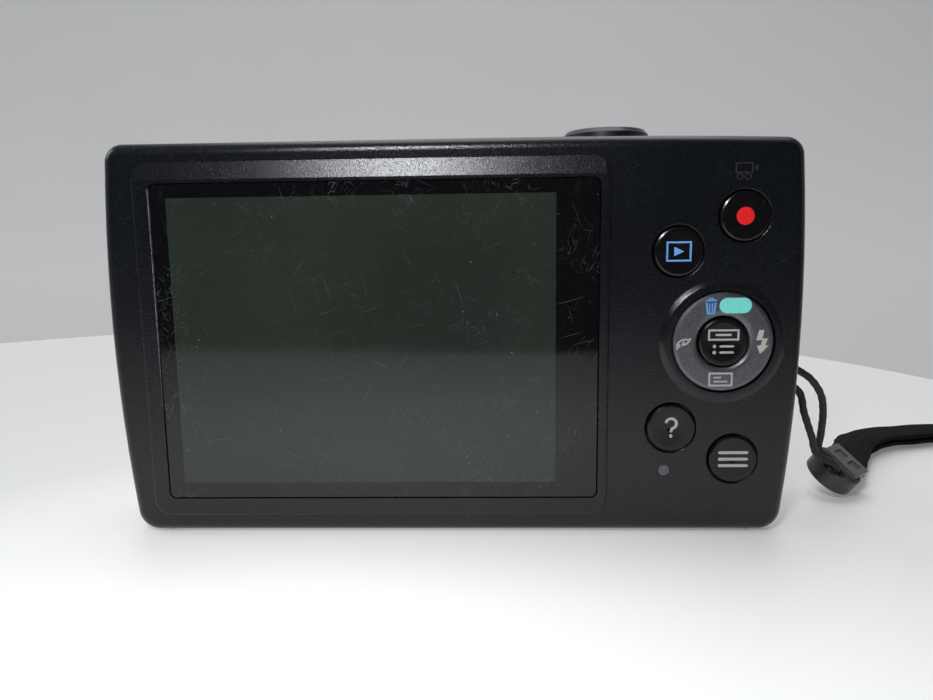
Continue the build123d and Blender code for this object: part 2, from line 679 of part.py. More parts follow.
with BuildPart() as battery_box:
    block(BOX_X, BOX_Y, (2.9, 44.0))
    block((BATTERY_X[0] - 0.1, BATTERY_X[1] + 0.1), (BATTERY_Y[0] - 0.1, BATTERY_Y[1] + 0.1), (2, 43.2),
          Mode.SUBTRACT)
    # lugs that carry the door's pin
    for span_x in LUG_SPANS:
        block((max(span_x[0], BOX_X[0]), span_x[1]), (BATTERY_Y[1] + 0.2, BOX_Y[1]), (1.35, 3.2))
        block(span_x, (BOX_Y[1] - 0.1, HINGE_Y), (1.35, 2.85))
        rod_x(HINGE_Y, HINGE_Z, 1.3, span_x)
        rod_x(HINGE_Y, HINGE_Z, PIN_R + RUN_GAP, (span_x[0] - 0.1, span_x[1] + 0.1), Mode.SUBTRACT)
    # ears and pin of the battery latch
    for low in (LATCH_X[0] - 0.6, LATCH_X[1] + 0.15):
        block((low, low + 0.45), (BOX_Y[1] - 0.2, LATCH_PIVOT[0] + 1.0), (10.0, 12.0))
    rod_x(*LATCH_PIVOT, PIN_R, (LATCH_X[0] - 0.5, LATCH_X[1] + 0.5))
save(battery_box, "battery_box")

with BuildPart() as battery:
    block(BATTERY_X, BATTERY_Y, BATTERY_Z)
    fillet(battery.edges().filter_by(Axis.Z), 1.2)
    for x in (14.0, 18.0, 22.0):
        block((x - 0.9, x + 0.9), (-1.4, 0.6), (42.6, 44), Mode.SUBTRACT)
save(battery, "battery")

with BuildPart() as memory_card_slot:
    block((CARD_X[0] - 0.7, CARD_X[1] + 0.7), (CARD_Y[0] - 0.3, CARD_Y[1] + 0.4), (9.0, 36.6))
    block((CARD_X[0] - 0.1, CARD_X[1] + 0.1), (CARD_Y[0] - 0.08, CARD_Y[1] + 0.08), (0, 35.4),
          Mode.SUBTRACT)
save(memory_card_slot, "memory_card_slot")

with BuildPart() as memory_card:
    block(CARD_X, CARD_Y, CARD_Z)
    with BuildSketch(rear_plane(8)):
        with BuildLine():
            Polyline((CARD_X[0] - 1, CARD_Z[1] - 2.6), (CARD_X[0] - 1, CARD_Z[1] + 1),
                     (CARD_X[0] + 2.6, CARD_Z[1] + 1), close=True)
        make_face()
    extrude(amount=6, mode=Mode.SUBTRACT)
save(memory_card, "memory_card")

DOOR_BARREL = (11.2, 36.8)
with BuildPart() as battery_door:
    with BuildSketch(rear_plane(DOOR_Y[1])):
        body_face()
    extrude(amount=DOOR_Y[1] - DOOR_Y[0])
    with BuildSketch(rear_plane(DOOR_Y[1])):
        body_face(1.2)
    extrude(amount=DOOR_Y[1] - DOOR_Y[0], mode=Mode.SUBTRACT)
    block((DOOR_X0, 60), (-20, 20), (-1, DOOR_TOP), Mode.INTERSECT)
    # hinge side: plate up to the barrel, then the barrel itself
    block(DOOR_BARREL, (DOOR_Y[1] - 0.1, HINGE_Y - 0.55), (0, 1.2))
    rod_x(HINGE_Y, HINGE_Z, 1.45, DOOR_BARREL)
    rod_x(HINGE_Y, HINGE_Z, PIN_R + RUN_GAP, (DOOR_BARREL[0] - 1, DOOR_BARREL[1] + 1), Mode.SUBTRACT)
    # rim that stiffens the inner end, and a foot
    block((DOOR_X0, DOOR_X0 + 1.0), DOOR_Y, (0, 1.9))
    block((DOOR_X0 - 1, DOOR_X0 + 3.1), (BATTERY_Y[1] + 0.1, 8), (1.2, 4), Mode.SUBTRACT)
    rod_x(HINGE_Y, HINGE_Z, DOOR_END_CUT_R, (43.2, 50), Mode.SUBTRACT)
    rod_z(41.0, 2.0, 1.0, (-FOOT_HEIGHT, 0.3))
save(battery_door, "battery_door")

with BuildPart() as battery_door_pin:
    rod_x(HINGE_Y, HINGE_Z, PIN_R, (8.7, 42.9))
save(battery_door_pin, "battery_door_pin")

with BuildPart() as battery_latch:
    block(LATCH_X, (3.1, 3.9), (2.2, 11.0))
    block(LATCH_X, (1.3, 3.9), (2.15, 2.85))
    rod_x(*LATCH_PIVOT, 0.98, LATCH_X)
    rod_x(*LATCH_PIVOT, PIN_R + RUN_GAP, (LATCH_X[0] - 1, LATCH_X[1] + 1), Mode.SUBTRACT)
save(battery_latch, "battery_latch")

# ---------------------------------------------------------------- connector cover
with BuildPart() as terminal_cover:
    with BuildSketch(rear_plane(TERMINAL_HINGE[1] - 0.4)):
        body_face()
    extrude(amount=TERMINAL_HINGE[1] - 0.4 + 0.45)
    block((-60, -47.35), (-20, 20), TERMINAL_Z, Mode.INTERSECT)
    rod_z(*TERMINAL_HINGE, TERMINAL_BARREL_R, TERMINAL_Z)
    rod_z(*TERMINAL_HINGE, 0.38, (TERMINAL_Z[0] - 0.8, TERMINAL_Z[1] + 0.8))
save(terminal_cover, "terminal_cover")

# ---------------------------------------------------------------- top controls
with BuildPart() as release_switch_base:
    block((5.6, SHUTTER_X + 5.6), (-3.6, 3.4), (50.2, 51.8))
    rod_z(POWER_X, 0, 1.6, (51.7, 53.0))
    rod_z(SHUTTER_X, 0, 1.2, (51.7, 51.95))
save(release_switch_base, "release_switch_base")

with BuildPart() as shutter_spring:
    with BuildLine() as coil:
        Helix(pitch=0.72, height=3.3, radius=1.95, center=(SHUTTER_X, 0, 52.05))
    with BuildSketch(Plane(origin=coil.line @ 0, z_dir=coil.line % 0)):
        Circle(0.14)
    sweep(is_frenet=True)
save(shutter_spring, "shutter_spring")

with BuildPart() as shutter_button:
    turned_z(SHUTTER_X, 0, [(0, 53.0), (1.3, 53.0), (1.3, 55.6), (3.42, 55.6), (3.42, 57.2),
                            (3.1, 57.5), (1.6, 57.62), (0, 57.65)])
save(shutter_button, "shutter_button")

with BuildPart() as zoom_lever:
    turned_z(SHUTTER_X, 0, [(3.6, 53.5), (5.25, 53.5), (5.25, 54.4), (4.6, 54.4), (4.6, 55.85),
                            (LEVER_R, 55.85), (LEVER_R, 56.7), (LEVER_R - 0.55, 57.3), (4.3, 57.3),
                            (3.6, 56.9)])
    with BuildSketch(Plane.XY.offset(56.1)):
        with Locations((SHUTTER_X, 6.3)):
            RectangleRounded(3.4, 3.6, 0.8)
    extrude(amount=1.1)
save(zoom_lever, "zoom_lever")

with BuildPart() as power_button:
    turned_z(POWER_X, 0, [(0, 53.45), (1.2, 53.45), (1.2, 53.9), (2.9, 53.9), (2.9, 54.4), (2.22, 54.4),
                          (2.22, 55.95), (2.0, 56.12), (0, 56.12)])
save(power_button, "power_button")


# ---------------------------------------------------------------- keys on the screen side
def key_cap(centre, cap_r=CAP_R, top_y=REAR_Y - CAP_PROUD):
    """Round key: slightly dished cap, retaining flange and plunger."""
    turned_y(centre, [(0, -7.05), (0.9, -7.05), (0.9, -7.4), (FLANGE_R - 0.1, -7.4),
                      (FLANGE_R - 0.1, -7.8), (cap_r, -7.8), (cap_r, top_y + 0.3),
                      (cap_r - 0.08, top_y + 0.1), (cap_r - 0.3, top_y), (cap_r - 0.7, top_y),
                      (0, top_y + 0.18)])


with BuildPart() as movie_button:
    key_cap(MOVIE_AT)
save(movie_button, "movie_button")

with BuildPart() as playback_button:
    key_cap(PLAYBACK_AT)
save(playback_button, "playback_button")

with BuildPart() as help_button:
    key_cap(HELP_AT)
save(help_button, "help_button")

with BuildPart() as menu_button:
    key_cap(MENU_AT)
save(menu_button, "menu_button")

with BuildPart() as select_button:
    key_cap(RING_AT, CAP_R, REAR_Y - CAP_PROUD - 0.15)
save(select_button, "select_button")

with BuildPart() as nav_ring:
    turned_y(RING_AT, [(RING_BORE_R, -8.05), (RING_BORE_R, -9.1), (RING_BORE_R + 0.12, -9.3),
                       (RING_BORE_R + 0.4, -9.44), (RING_BORE_R + 0.8, -9.5), (6.4, -9.5),
                       (RING_R - 0.15, -9.38), (RING_R, -9.15), (RING_R, -7.42), (7.9, -7.42),
                       (7.9, -7.15), (4.6, -7.15), (4.6, -8.05)])
save(nav_ring, "nav_ring")

with BuildPart() as ring_pivot:
    turned_y(RING_AT, [(4.4, -6.9), (5.3, -6.9), (5.3, -6.6), (4.4, -6.6)])
save(ring_pivot, "ring_pivot")

# ---------------------------------------------------------------- wrist strap
CORD_TURN_R = BAR_R + 0.07 + CORD_R
round_bar = [(BAR_AT[0] + CORD_TURN_R * math.cos(math.radians(angle)), 4.0,
              BAR_AT[1] + CORD_TURN_R * math.sin(math.radians(angle)))
             for angle in (80, 130, 180, 230, 280)]
with BuildPart() as strap_cord:
    with BuildLine() as loop:
        Spline(
            (59.93, 7.34, 4.41), (60.36, 6.15, 6.1), (58.95, 6.15, 7.9), (58.7, 5.9, 10.5),
            (58.66, 5.5, 14.0), (57.98, 5.1, 17.0), (56.2, 4.7, 19.5), (53.6, 4.4, 21.3),
            (50.3, 4.2, 23.0), *round_bar,
            (50.2, 4.0, 20.4), (52.4, 3.9, 18.8), (53.9, 4.0, 16.9), (55.1, 4.2, 14.3), (56.5, 4.4, 10.4),
            (58.1, 4.8, 7.2), (60.9, 5.1, 5.4), (60.69, 6.5, 3.59),
        )
    with BuildSketch(Plane(origin=loop.line @ 0, z_dir=loop.line % 0)):
        Circle(CORD_R)
    sweep()
save(strap_cord, "strap_cord")

# the connector lies on its lower edge: length towards +X +Y, width leaning down towards the screen side
TAB_CENTRE = (61.9, 7.7, 3.65)
LENGTH_DIR = Vector(0.741, 0.672, 0).normalized()
LEAN = math.radians(36)
ACROSS = Vector(LENGTH_DIR.Y, -LENGTH_DIR.X, 0)
WIDTH_DIR = ACROSS * math.cos(LEAN) + Vector(0, 0, -math.sin(LEAN))
FACE_DIR = LENGTH_DIR.cross(WIDTH_DIR)
CONNECTOR_PLANE = Plane(origin=TAB_CENTRE, x_dir=LENGTH_DIR, z_dir=FACE_DIR)
TAB_R = 3.95
TAB_THICK = 2.6
BLOCK_SIZE = (4.6, 6.4, 4.2)
BLOCK_AT = 2.2
BAND_SIZE = (6.4, 2.4)

with BuildPart() as strap_connector:
    with BuildSketch(CONNECTOR_PLANE.offset(-TAB_THICK / 2)):
        Circle(TAB_R)
        with Locations((-1.7, 0)):
            RectangleRounded(2.0, 4.4, 0.95, mode=Mode.SUBTRACT)
    extrude(amount=TAB_THICK)
    with BuildSketch(CONNECTOR_PLANE.offset(-BLOCK_SIZE[2] / 2)):
        with Locations((BLOCK_AT, 0)):
            RectangleRounded(BLOCK_SIZE[0], BLOCK_SIZE[1], 0.5)
    extrude(amount=BLOCK_SIZE[2])
    with BuildSketch(CONNECTOR_PLANE.offset(-BLOCK_SIZE[2] / 2)):
        with Locations((BLOCK_AT, -1.3), (BLOCK_AT, 1.3)):
            Rectangle(2.5, 1.7)
    extrude(amount=0.35, mode=Mode.SUBTRACT)
save(strap_connector, "strap_connector")

with BuildPart() as strap_webbing:
    start = Vector(*TAB_CENTRE) + LENGTH_DIR * 4.75
    with BuildLine():
        Spline(start, (69.4, 16.0, 3.5), (74.4, 24.2, 3.3), (80.5, 30.6, 3.1), (90.5, 34.6, 3.0),
               (101.0, 35.4, 3.0),
               (111.0, 31.6, 3.0), (117.6, 23.0, 3.0), (119.0, 12.5, 3.0), (115.0, 3.0, 3.0),
               tangents=(LENGTH_DIR, (-0.6, -0.8, 0)))
    with BuildSketch(Plane(origin=start, x_dir=WIDTH_DIR, z_dir=LENGTH_DIR)):
        RectangleRounded(*BAND_SIZE, 0.8)
    sweep()
save(strap_webbing, "strap_webbing")
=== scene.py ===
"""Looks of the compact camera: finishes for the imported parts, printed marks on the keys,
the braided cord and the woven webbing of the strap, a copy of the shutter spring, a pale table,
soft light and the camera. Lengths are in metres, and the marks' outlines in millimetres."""

import json
import math

import bmesh
import bpy
from mathutils import Matrix, Vector


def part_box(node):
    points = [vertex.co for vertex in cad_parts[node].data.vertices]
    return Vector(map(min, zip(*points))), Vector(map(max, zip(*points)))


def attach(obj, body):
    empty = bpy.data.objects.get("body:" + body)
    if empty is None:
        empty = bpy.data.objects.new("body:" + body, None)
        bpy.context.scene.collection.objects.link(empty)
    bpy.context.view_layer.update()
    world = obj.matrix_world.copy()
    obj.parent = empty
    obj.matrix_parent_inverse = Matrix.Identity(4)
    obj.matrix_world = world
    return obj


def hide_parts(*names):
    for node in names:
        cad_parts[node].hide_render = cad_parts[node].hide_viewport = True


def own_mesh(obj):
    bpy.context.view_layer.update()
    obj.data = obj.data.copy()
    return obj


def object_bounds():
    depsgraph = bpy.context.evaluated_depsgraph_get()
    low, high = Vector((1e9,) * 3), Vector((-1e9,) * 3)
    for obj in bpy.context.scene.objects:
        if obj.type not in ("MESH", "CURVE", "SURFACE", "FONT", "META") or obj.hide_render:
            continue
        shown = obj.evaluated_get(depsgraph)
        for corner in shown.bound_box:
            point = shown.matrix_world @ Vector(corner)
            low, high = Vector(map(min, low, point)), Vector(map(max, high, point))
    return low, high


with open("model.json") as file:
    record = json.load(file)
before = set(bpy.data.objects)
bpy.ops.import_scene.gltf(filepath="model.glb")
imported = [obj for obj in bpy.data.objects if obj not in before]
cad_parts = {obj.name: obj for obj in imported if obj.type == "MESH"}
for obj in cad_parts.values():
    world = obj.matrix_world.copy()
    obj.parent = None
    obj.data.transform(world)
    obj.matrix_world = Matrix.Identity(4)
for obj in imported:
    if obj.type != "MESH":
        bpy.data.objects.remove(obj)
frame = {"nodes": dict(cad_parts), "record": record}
CAD_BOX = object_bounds()
MM = 0.001


# ---------------------------------------------------------------- node helpers
class Nodes:
    """A material's node tree, with short calls for the nodes used here."""

    def __init__(self, name):
        self.material = bpy.data.materials.new(name)
        self.material.use_nodes = True
        self.tree = self.material.node_tree
        self.shader = self.tree.nodes["Principled BSDF"]
        self.place = self.add("ShaderNodeTexCoord").outputs["Object"]

    def add(self, kind, **settings):
        """A new node of this kind, with its settings."""
        node = self.tree.nodes.new(kind)
        for key, value in settings.items():
            setattr(node, key, value)
        return node

    def link(self, value, socket):
        """Feeds a socket from another socket or with a plain value."""
        if isinstance(value, bpy.types.NodeSocket):
            self.tree.links.new(value, socket)
        else:
            socket.default_value = value

    def set(self, **inputs):
        """Feeds the surface shader's inputs, by short names."""
        names = {"color": "Base Color", "rough": "Roughness", "metal": "Metallic", "normal": "Normal",
                 "coat": "Coat Weight", "coat_rough": "Coat Roughness", "ior": "IOR",
                 "sheen": "Sheen Weight", "sheen_rough": "Sheen Roughness",
                 "specular": "Specular IOR Level", "alpha": "Alpha",
                 "glow": "Emission Color", "glow_strength": "Emission Strength"}
        for key, value in inputs.items():
            self.link(value, self.shader.inputs[names[key]])

    def noise(self, scale, detail=3.0, vector=None):
        """Soft noise between 0 and 1; scale counts its patches per metre."""
        node = self.add("ShaderNodeTexNoise")
        self.link(self.place if vector is None else vector, node.inputs["Vector"])
        node.inputs["Scale"].default_value = scale
        node.inputs["Detail"].default_value = detail
        return node.outputs["Fac"]

    def cells(self, scale):
        """Distance to the nearest of many scattered points."""
        node = self.add("ShaderNodeTexVoronoi")
        self.link(self.place, node.inputs["Vector"])
        node.inputs["Scale"].default_value = scale
        return node.outputs["Distance"]

    def ramp(self, value, low, high, out_low=0.0, out_high=1.0):
        """Takes value from the range low to high over to the range out_low to out_high, clamped."""
        node = self.add("ShaderNodeMapRange", clamp=True)
        numbers = {"Value": value, "From Min": low, "From Max": high, "To Min": out_low, "To Max": out_high}
        for name, number in numbers.items():
            self.link(number, node.inputs[name])
        return node.outputs["Result"]

    def math(self, operation, a, b=0.0):
        """One sum on sockets or numbers."""
        node = self.add("ShaderNodeMath", operation=operation)
        self.link(a, node.inputs[0])
        self.link(b, node.inputs[1])
        return node.outputs[0]

    def mix(self, factor, a, b):
        """Colour a where factor is 0, colour b where it is 1."""
        node = self.add("ShaderNodeMix", data_type="RGBA")
        self.link(factor, node.inputs["Factor"])
        colour_sockets = [s for s in node.inputs if s.type == "RGBA"]
        for value, socket in zip((a, b), colour_sockets):
            self.link(value if isinstance(value, bpy.types.NodeSocket) else (*value, 1.0), socket)
        return [s for s in node.outputs if s.type == "RGBA"][0]

    def bump(self, height, distance, strength=1.0):
        """Surface relief from a height, with its depth in metres."""
        node = self.add("ShaderNodeBump")
        self.link(height, node.inputs["Height"])
        node.inputs["Distance"].default_value = distance
        node.inputs["Strength"].default_value = strength
        return node.outputs["Normal"]

    def axis(self, name):
        """The place along X, Y or Z, in metres."""
        node = self.add("ShaderNodeSeparateXYZ")
        self.link(self.place, node.inputs[0])
        return node.outputs[name]

    def stretched(self, scale, turn=(0.0, 0.0, 0.0), shift=(0.0, 0.0, 0.0)):
        """The place, scaled, turned and shifted before a texture reads it."""
        node = self.add("ShaderNodeMapping")
        self.link(self.place, node.inputs["Vector"])
        node.inputs["Scale"].default_value = scale
        node.inputs["Rotation"].default_value = turn
        node.inputs["Location"].default_value = shift
        return node.outputs["Vector"]

    def scratches(self, count, density, wide, long, seed=0.0):
        """Fine, slightly bent scratches in an upright X-Z face, in several directions."""
        total = None
        for i in range(count):
            turn = math.radians(17 + i * 180.0 / count + 11 * math.sin(3.1 * i))
            turned = self.stretched((1, 1, 1), (0, turn, 0), (0.013 * i + seed, 0, 0.007 * i))
            wobble = self.add("ShaderNodeVectorMath", operation="MULTIPLY_ADD")
            bend = self.add("ShaderNodeTexNoise")
            self.link(turned, bend.inputs["Vector"])
            bend.inputs["Scale"].default_value = 45.0
            bend.inputs["Detail"].default_value = 0.0
            self.link(bend.outputs["Color"], wobble.inputs[0])
            wobble.inputs[1].default_value = (0.004, 0.0, 0.004)
            self.link(turned, wobble.inputs[2])
            pull = self.add("ShaderNodeVectorMath", operation="MULTIPLY")
            self.link(wobble.outputs[0], pull.inputs[0])
            pull.inputs[1].default_value = (long, 0.0, wide)
            line = self.ramp(self.noise(1.0, 0.0, pull.outputs[0]), density, density + 0.05)
            total = line if total is None else self.math("MAXIMUM", total, line)
        return total


# ---------------------------------------------------------------- finishes
def body_plastic():
    """Blue-black moulded plastic: eroded grain, dust, faint scuffs, and a painted highlight line along the
    left rim of the window seat.
    """
    n = Nodes("body_plastic")
    grain = n.noise(5200.0, 2.0)
    cloud = n.noise(45.0, 3.0)
    speck = n.ramp(n.cells(900.0), 0.05, 0.02)
    rare = n.ramp(n.noise(260.0, 2.0), 0.58, 0.68)
    dust = n.math("MULTIPLY", speck, rare)
    scuff = n.math("MULTIPLY", n.scratches(4, 0.79, 9000.0, 420.0), n.ramp(cloud, 0.42, 0.6))
    streak = n.ramp(n.noise(1.0, 2.0, n.stretched((900.0, 0.0, 130.0))), 0.55, 0.75)
    rub = n.math("MULTIPLY", streak, n.ramp(n.noise(70.0, 2.0), 0.5, 0.7))
    low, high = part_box("display_window")
    x, z = n.axis("X"), n.axis("Z")
    rim_gap, rim_half_wide, rim_end = 0.13 * MM, 0.07 * MM, 0.6 * MM
    fade_start, fade_end = 12 * MM, 26 * MM
    # Painted highlight: a thin pale line along the left rim of the window seat, standing in for light caught
    # by its edge; it fades out towards the bottom.
    painted_rim_highlight = n.math("LESS_THAN", n.math("ABSOLUTE", n.math("SUBTRACT", x, low.x - rim_gap)), rim_half_wide)
    painted_rim_highlight = n.math("MULTIPLY", painted_rim_highlight, n.ramp(z, low.z + fade_start, low.z + fade_end))
    painted_rim_highlight = n.math("MULTIPLY", painted_rim_highlight, n.math("LESS_THAN", z, high.z - rim_end))
    painted_rim_highlight = n.math("MULTIPLY", painted_rim_highlight, n.ramp(n.noise(1600.0, 1.0), 0.3, 0.6, 0.35, 1.0))
    base = n.mix(n.ramp(cloud, 0.3, 0.7), (0.0038, 0.0050, 0.0068), (0.0056, 0.0070, 0.0088))
    base = n.mix(n.math("MULTIPLY", dust, 0.6), base, (0.24, 0.24, 0.24))
    base = n.mix(n.math("MULTIPLY", scuff, 0.25), base, (0.12, 0.12, 0.13))
    base = n.mix(n.math("MULTIPLY", rub, 0.05), base, (0.12, 0.12, 0.14))
    # Mixes in the painted highlight line of the window seat's rim.
    base = n.mix(n.math("MULTIPLY", painted_rim_highlight, 0.6), base, (0.36, 0.37, 0.39))
    rough = n.math("ADD", n.ramp(grain, 0.3, 0.7, 0.19, 0.28), n.ramp(cloud, 0.3, 0.7, -0.02, 0.03))
    n.set(color=base, rough=rough, normal=n.bump(grain, 0.000035, 0.8), specular=0.45)
    return n.material


def window_plastic():
    """Polished window over the screen: black printed border, dark green-grey screen, fine scratches."""
    n = Nodes("window_plastic")
    low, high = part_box("lcd_panel")
    margin_left, margin_x, margin_z, edge = 1.25 * MM, 0.8 * MM, 1.05 * MM, 0.06 * MM
    x, z = n.axis("X"), n.axis("Z")
    inside = n.ramp(x, low.x + margin_left, low.x + margin_left + edge)
    for value, start, direction in ((x, high.x - margin_x, -1), (z, low.z + margin_z, 1),
                                    (z, high.z - margin_z, -1)):
        inside = n.math("MULTIPLY", inside, n.ramp(value, start, start + direction * edge))
    haze = n.noise(38.0, 2.0)
    screen = n.mix(n.ramp(haze, 0.35, 0.7), (0.021, 0.0285, 0.0215), (0.028, 0.036, 0.027))
    base = n.mix(inside, (0.004, 0.004, 0.0045), screen)
    low_w, high_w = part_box("display_window")
    top_side = n.ramp(z, high_w.z - 9 * MM, high_w.z - 0.5 * MM)
    right_side = n.ramp(x, high_w.x - 26 * MM, high_w.x - 2 * MM, 0.0, 0.6)
    left_side = n.ramp(x, low_w.x + 8 * MM, low_w.x + 1 * MM, 0.0, 0.8)
    busy = n.math("MAXIMUM", n.math("MAXIMUM", top_side, right_side), left_side)
    patches = n.ramp(n.noise(110.0, 2.0), 0.50, 0.66)
    where = n.math("MULTIPLY", patches, n.ramp(busy, 0.0, 1.0, 0.35, 1.0))
    lines = n.math("MULTIPLY", n.scratches(6, 0.755, 11000.0, 420.0), where)
    long_ones = n.math("MULTIPLY", n.scratches(4, 0.80, 12000.0, 150.0, 0.31), 0.55)
    specks = n.math("MULTIPLY", n.ramp(n.cells(700.0), 0.085, 0.045),
                    n.ramp(n.noise(300.0, 1.0), 0.52, 0.62))
    marks = n.math("MAXIMUM", n.math("MAXIMUM", lines, long_ones), specks)
    base = n.mix(n.math("MULTIPLY", marks, 0.5), base, (0.27, 0.28, 0.28))
    smear = n.noise(75.0, 4.0)
    rough = n.math("ADD", n.ramp(smear, 0.35, 0.7, 0.045, 0.10), n.math("MULTIPLY", marks, 0.25))
    n.set(color=base, rough=rough, ior=1.49, normal=n.bump(marks, -0.00001, 0.3))
    return n.material


def gloss_key():
    """Polished black key cap with wiping marks."""
    n = Nodes("gloss_key")
    smear = n.noise(420.0, 3.0)
    rub = n.scratches(3, 0.74, 5200.0, 260.0, 0.11)
    base = n.mix(n.math("MULTIPLY", rub, 0.10), (0.0040, 0.0040, 0.0045), (0.10, 0.10, 0.10))
    n.set(color=base, rough=n.ramp(smear, 0.3, 0.7, 0.18, 0.27), specular=0.4,
          normal=n.bump(n.noise(1500.0, 2.0), 0.00001, 0.4))
    return n.material


def ring_metal():
    """Metallic grey paint of the four-way ring."""
    n = Nodes("ring_metal")
    flake = n.noise(9000.0, 1.0)
    cloud = n.noise(300.0, 2.0)
    base = n.mix(n.ramp(flake, 0.35, 0.7), (0.095, 0.097, 0.108), (0.19, 0.193, 0.212))
    n.set(color=base, metal=0.75, rough=n.ramp(cloud, 0.3, 0.7, 0.34, 0.44),
          normal=n.bump(flake, 0.00002, 0.35), coat=0.25, coat_rough=0.2)
    return n.material


def turned_metal(name, colour, rough, metal=1.0, about=None):
    """Metal with fine turning lines round an upright or a lens axis."""
    n = Nodes(name)
    if about is None:
        lines = n.noise(2600.0, 2.0, n.stretched((1, 1, 0.04)))
    else:
        centre, keep = about
        shifted = n.add("ShaderNodeVectorMath", operation="SUBTRACT")
        n.link(n.place, shifted.inputs[0])
        shifted.inputs[1].default_value = centre
        flat = n.add("ShaderNodeVectorMath", operation="MULTIPLY")
        n.link(shifted.outputs[0], flat.inputs[0])
        flat.inputs[1].default_value = keep
        size = n.add("ShaderNodeVectorMath", operation="LENGTH")
        n.link(flat.outputs[0], size.inputs[0])
        line_at = n.add("ShaderNodeCombineXYZ")
        n.link(size.outputs["Value"], line_at.inputs[0])
        lines = n.noise(9000.0, 1.0, line_at.outputs[0])
    cloud = n.noise(120.0, 2.0)
    dark = tuple(c * 0.78 for c in colour)
    base = n.mix(n.ramp(lines, 0.3, 0.7), dark, colour)
    n.set(color=base, metal=metal, rough=n.ramp(cloud, 0.3, 0.7, rough, rough + 0.1),
          normal=n.bump(lines, 0.00002, 0.35))
    return n.material


def plain_plastic(name, colour, rough, grain=1800.0):
    """Moulded plastic or rubber with a light grain and uneven sheen."""
    n = Nodes(name)
    fine = n.noise(grain, 3.0)
    cloud = n.noise(90.0, 2.0)
    base = n.mix(n.ramp(cloud, 0.3, 0.7), tuple(c * 0.8 for c in colour), colour)
    n.set(color=base, rough=n.ramp(fine, 0.3, 0.7, rough - 0.05, rough + 0.07),
          normal=n.bump(fine, 0.00004, 0.4))
    return n.material


def clear_plastic(name, colour, rough=0.04):
    """Tinted clear plastic or coated glass, drawn as a dark gloss with depth."""
    n = Nodes(name)
    cloud = n.noise(160.0, 2.0)
    base = n.mix(n.ramp(cloud, 0.3, 0.7), tuple(c * 0.85 for c in colour), colour)
    n.set(color=base, rough=n.ramp(cloud, 0.3, 0.7, rough, rough + 0.04), ior=1.5, coat=1.0, coat_rough=0.02,
          normal=n.bump(n.noise(900.0, 1.0), 0.000004, 0.3))
    return n.material


def print_ink(name, colour, rough=0.42):
    """Screen-printed ink on a key."""
    n = Nodes(name)
    spots = n.noise(5200.0, 2.0)
    base = n.mix(n.ramp(spots, 0.3, 0.75), tuple(c * 0.86 for c in colour), colour)
    n.set(color=base, rough=rough, normal=n.bump(spots, 0.00001, 0.3))
    return n.material


def cord_yarn():
    """Black braided yarn."""
    n = Nodes("cord_yarn")
    fibre = n.noise(7000.0, 3.0)
    base = n.mix(n.ramp(fibre, 0.3, 0.7), (0.006, 0.006, 0.0075), (0.022, 0.022, 0.026))
    n.set(color=base, rough=0.6, sheen=0.08, sheen_rough=0.4, normal=n.bump(fibre, 0.00006, 0.6))
    return n.material


WEFT_PITCH, WARP_PITCH = 0.62, 0.5


def webbing_weave():
    """Black woven webbing: crossing yarns from the piece's own UVs (in millimetres) with fibre noise."""
    n = Nodes("webbing_weave")
    uv = n.add("ShaderNodeTexCoord").outputs["UV"]
    split = n.add("ShaderNodeSeparateXYZ")
    n.link(uv, split.inputs[0])
    along, across = split.outputs["X"], split.outputs["Y"]
    weft = n.math("SINE", n.math("MULTIPLY", along, math.tau / WEFT_PITCH))
    warp = n.math("SINE", n.math("MULTIPLY", across, math.tau / WARP_PITCH))
    weave = n.math("MULTIPLY", weft, warp)
    ribs = n.math("ADD", n.math("MULTIPLY", weave, 0.5), n.math("MULTIPLY", warp, 0.3))
    fibre = n.noise(5200.0, 3.0)
    height = n.math("ADD", ribs, n.math("MULTIPLY", fibre, 0.6))
    base = n.mix(n.ramp(height, -0.5, 1.0), (0.0025, 0.0025, 0.0030), (0.010, 0.010, 0.0115))
    n.set(color=base, rough=0.85, ior=1.22, normal=n.bump(height, 0.00012, 0.8))
    return n.material


def middle(node):
    """Centre of a node's box."""
    low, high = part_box(node)
    return (low + high) / 2


ROUND_LENS = (tuple(middle("lens_trim_ring")), (1.0, 0.0, 1.0))
ROUND_LEVER = (tuple(middle("shutter_button")), (1.0, 1.0, 0.0))

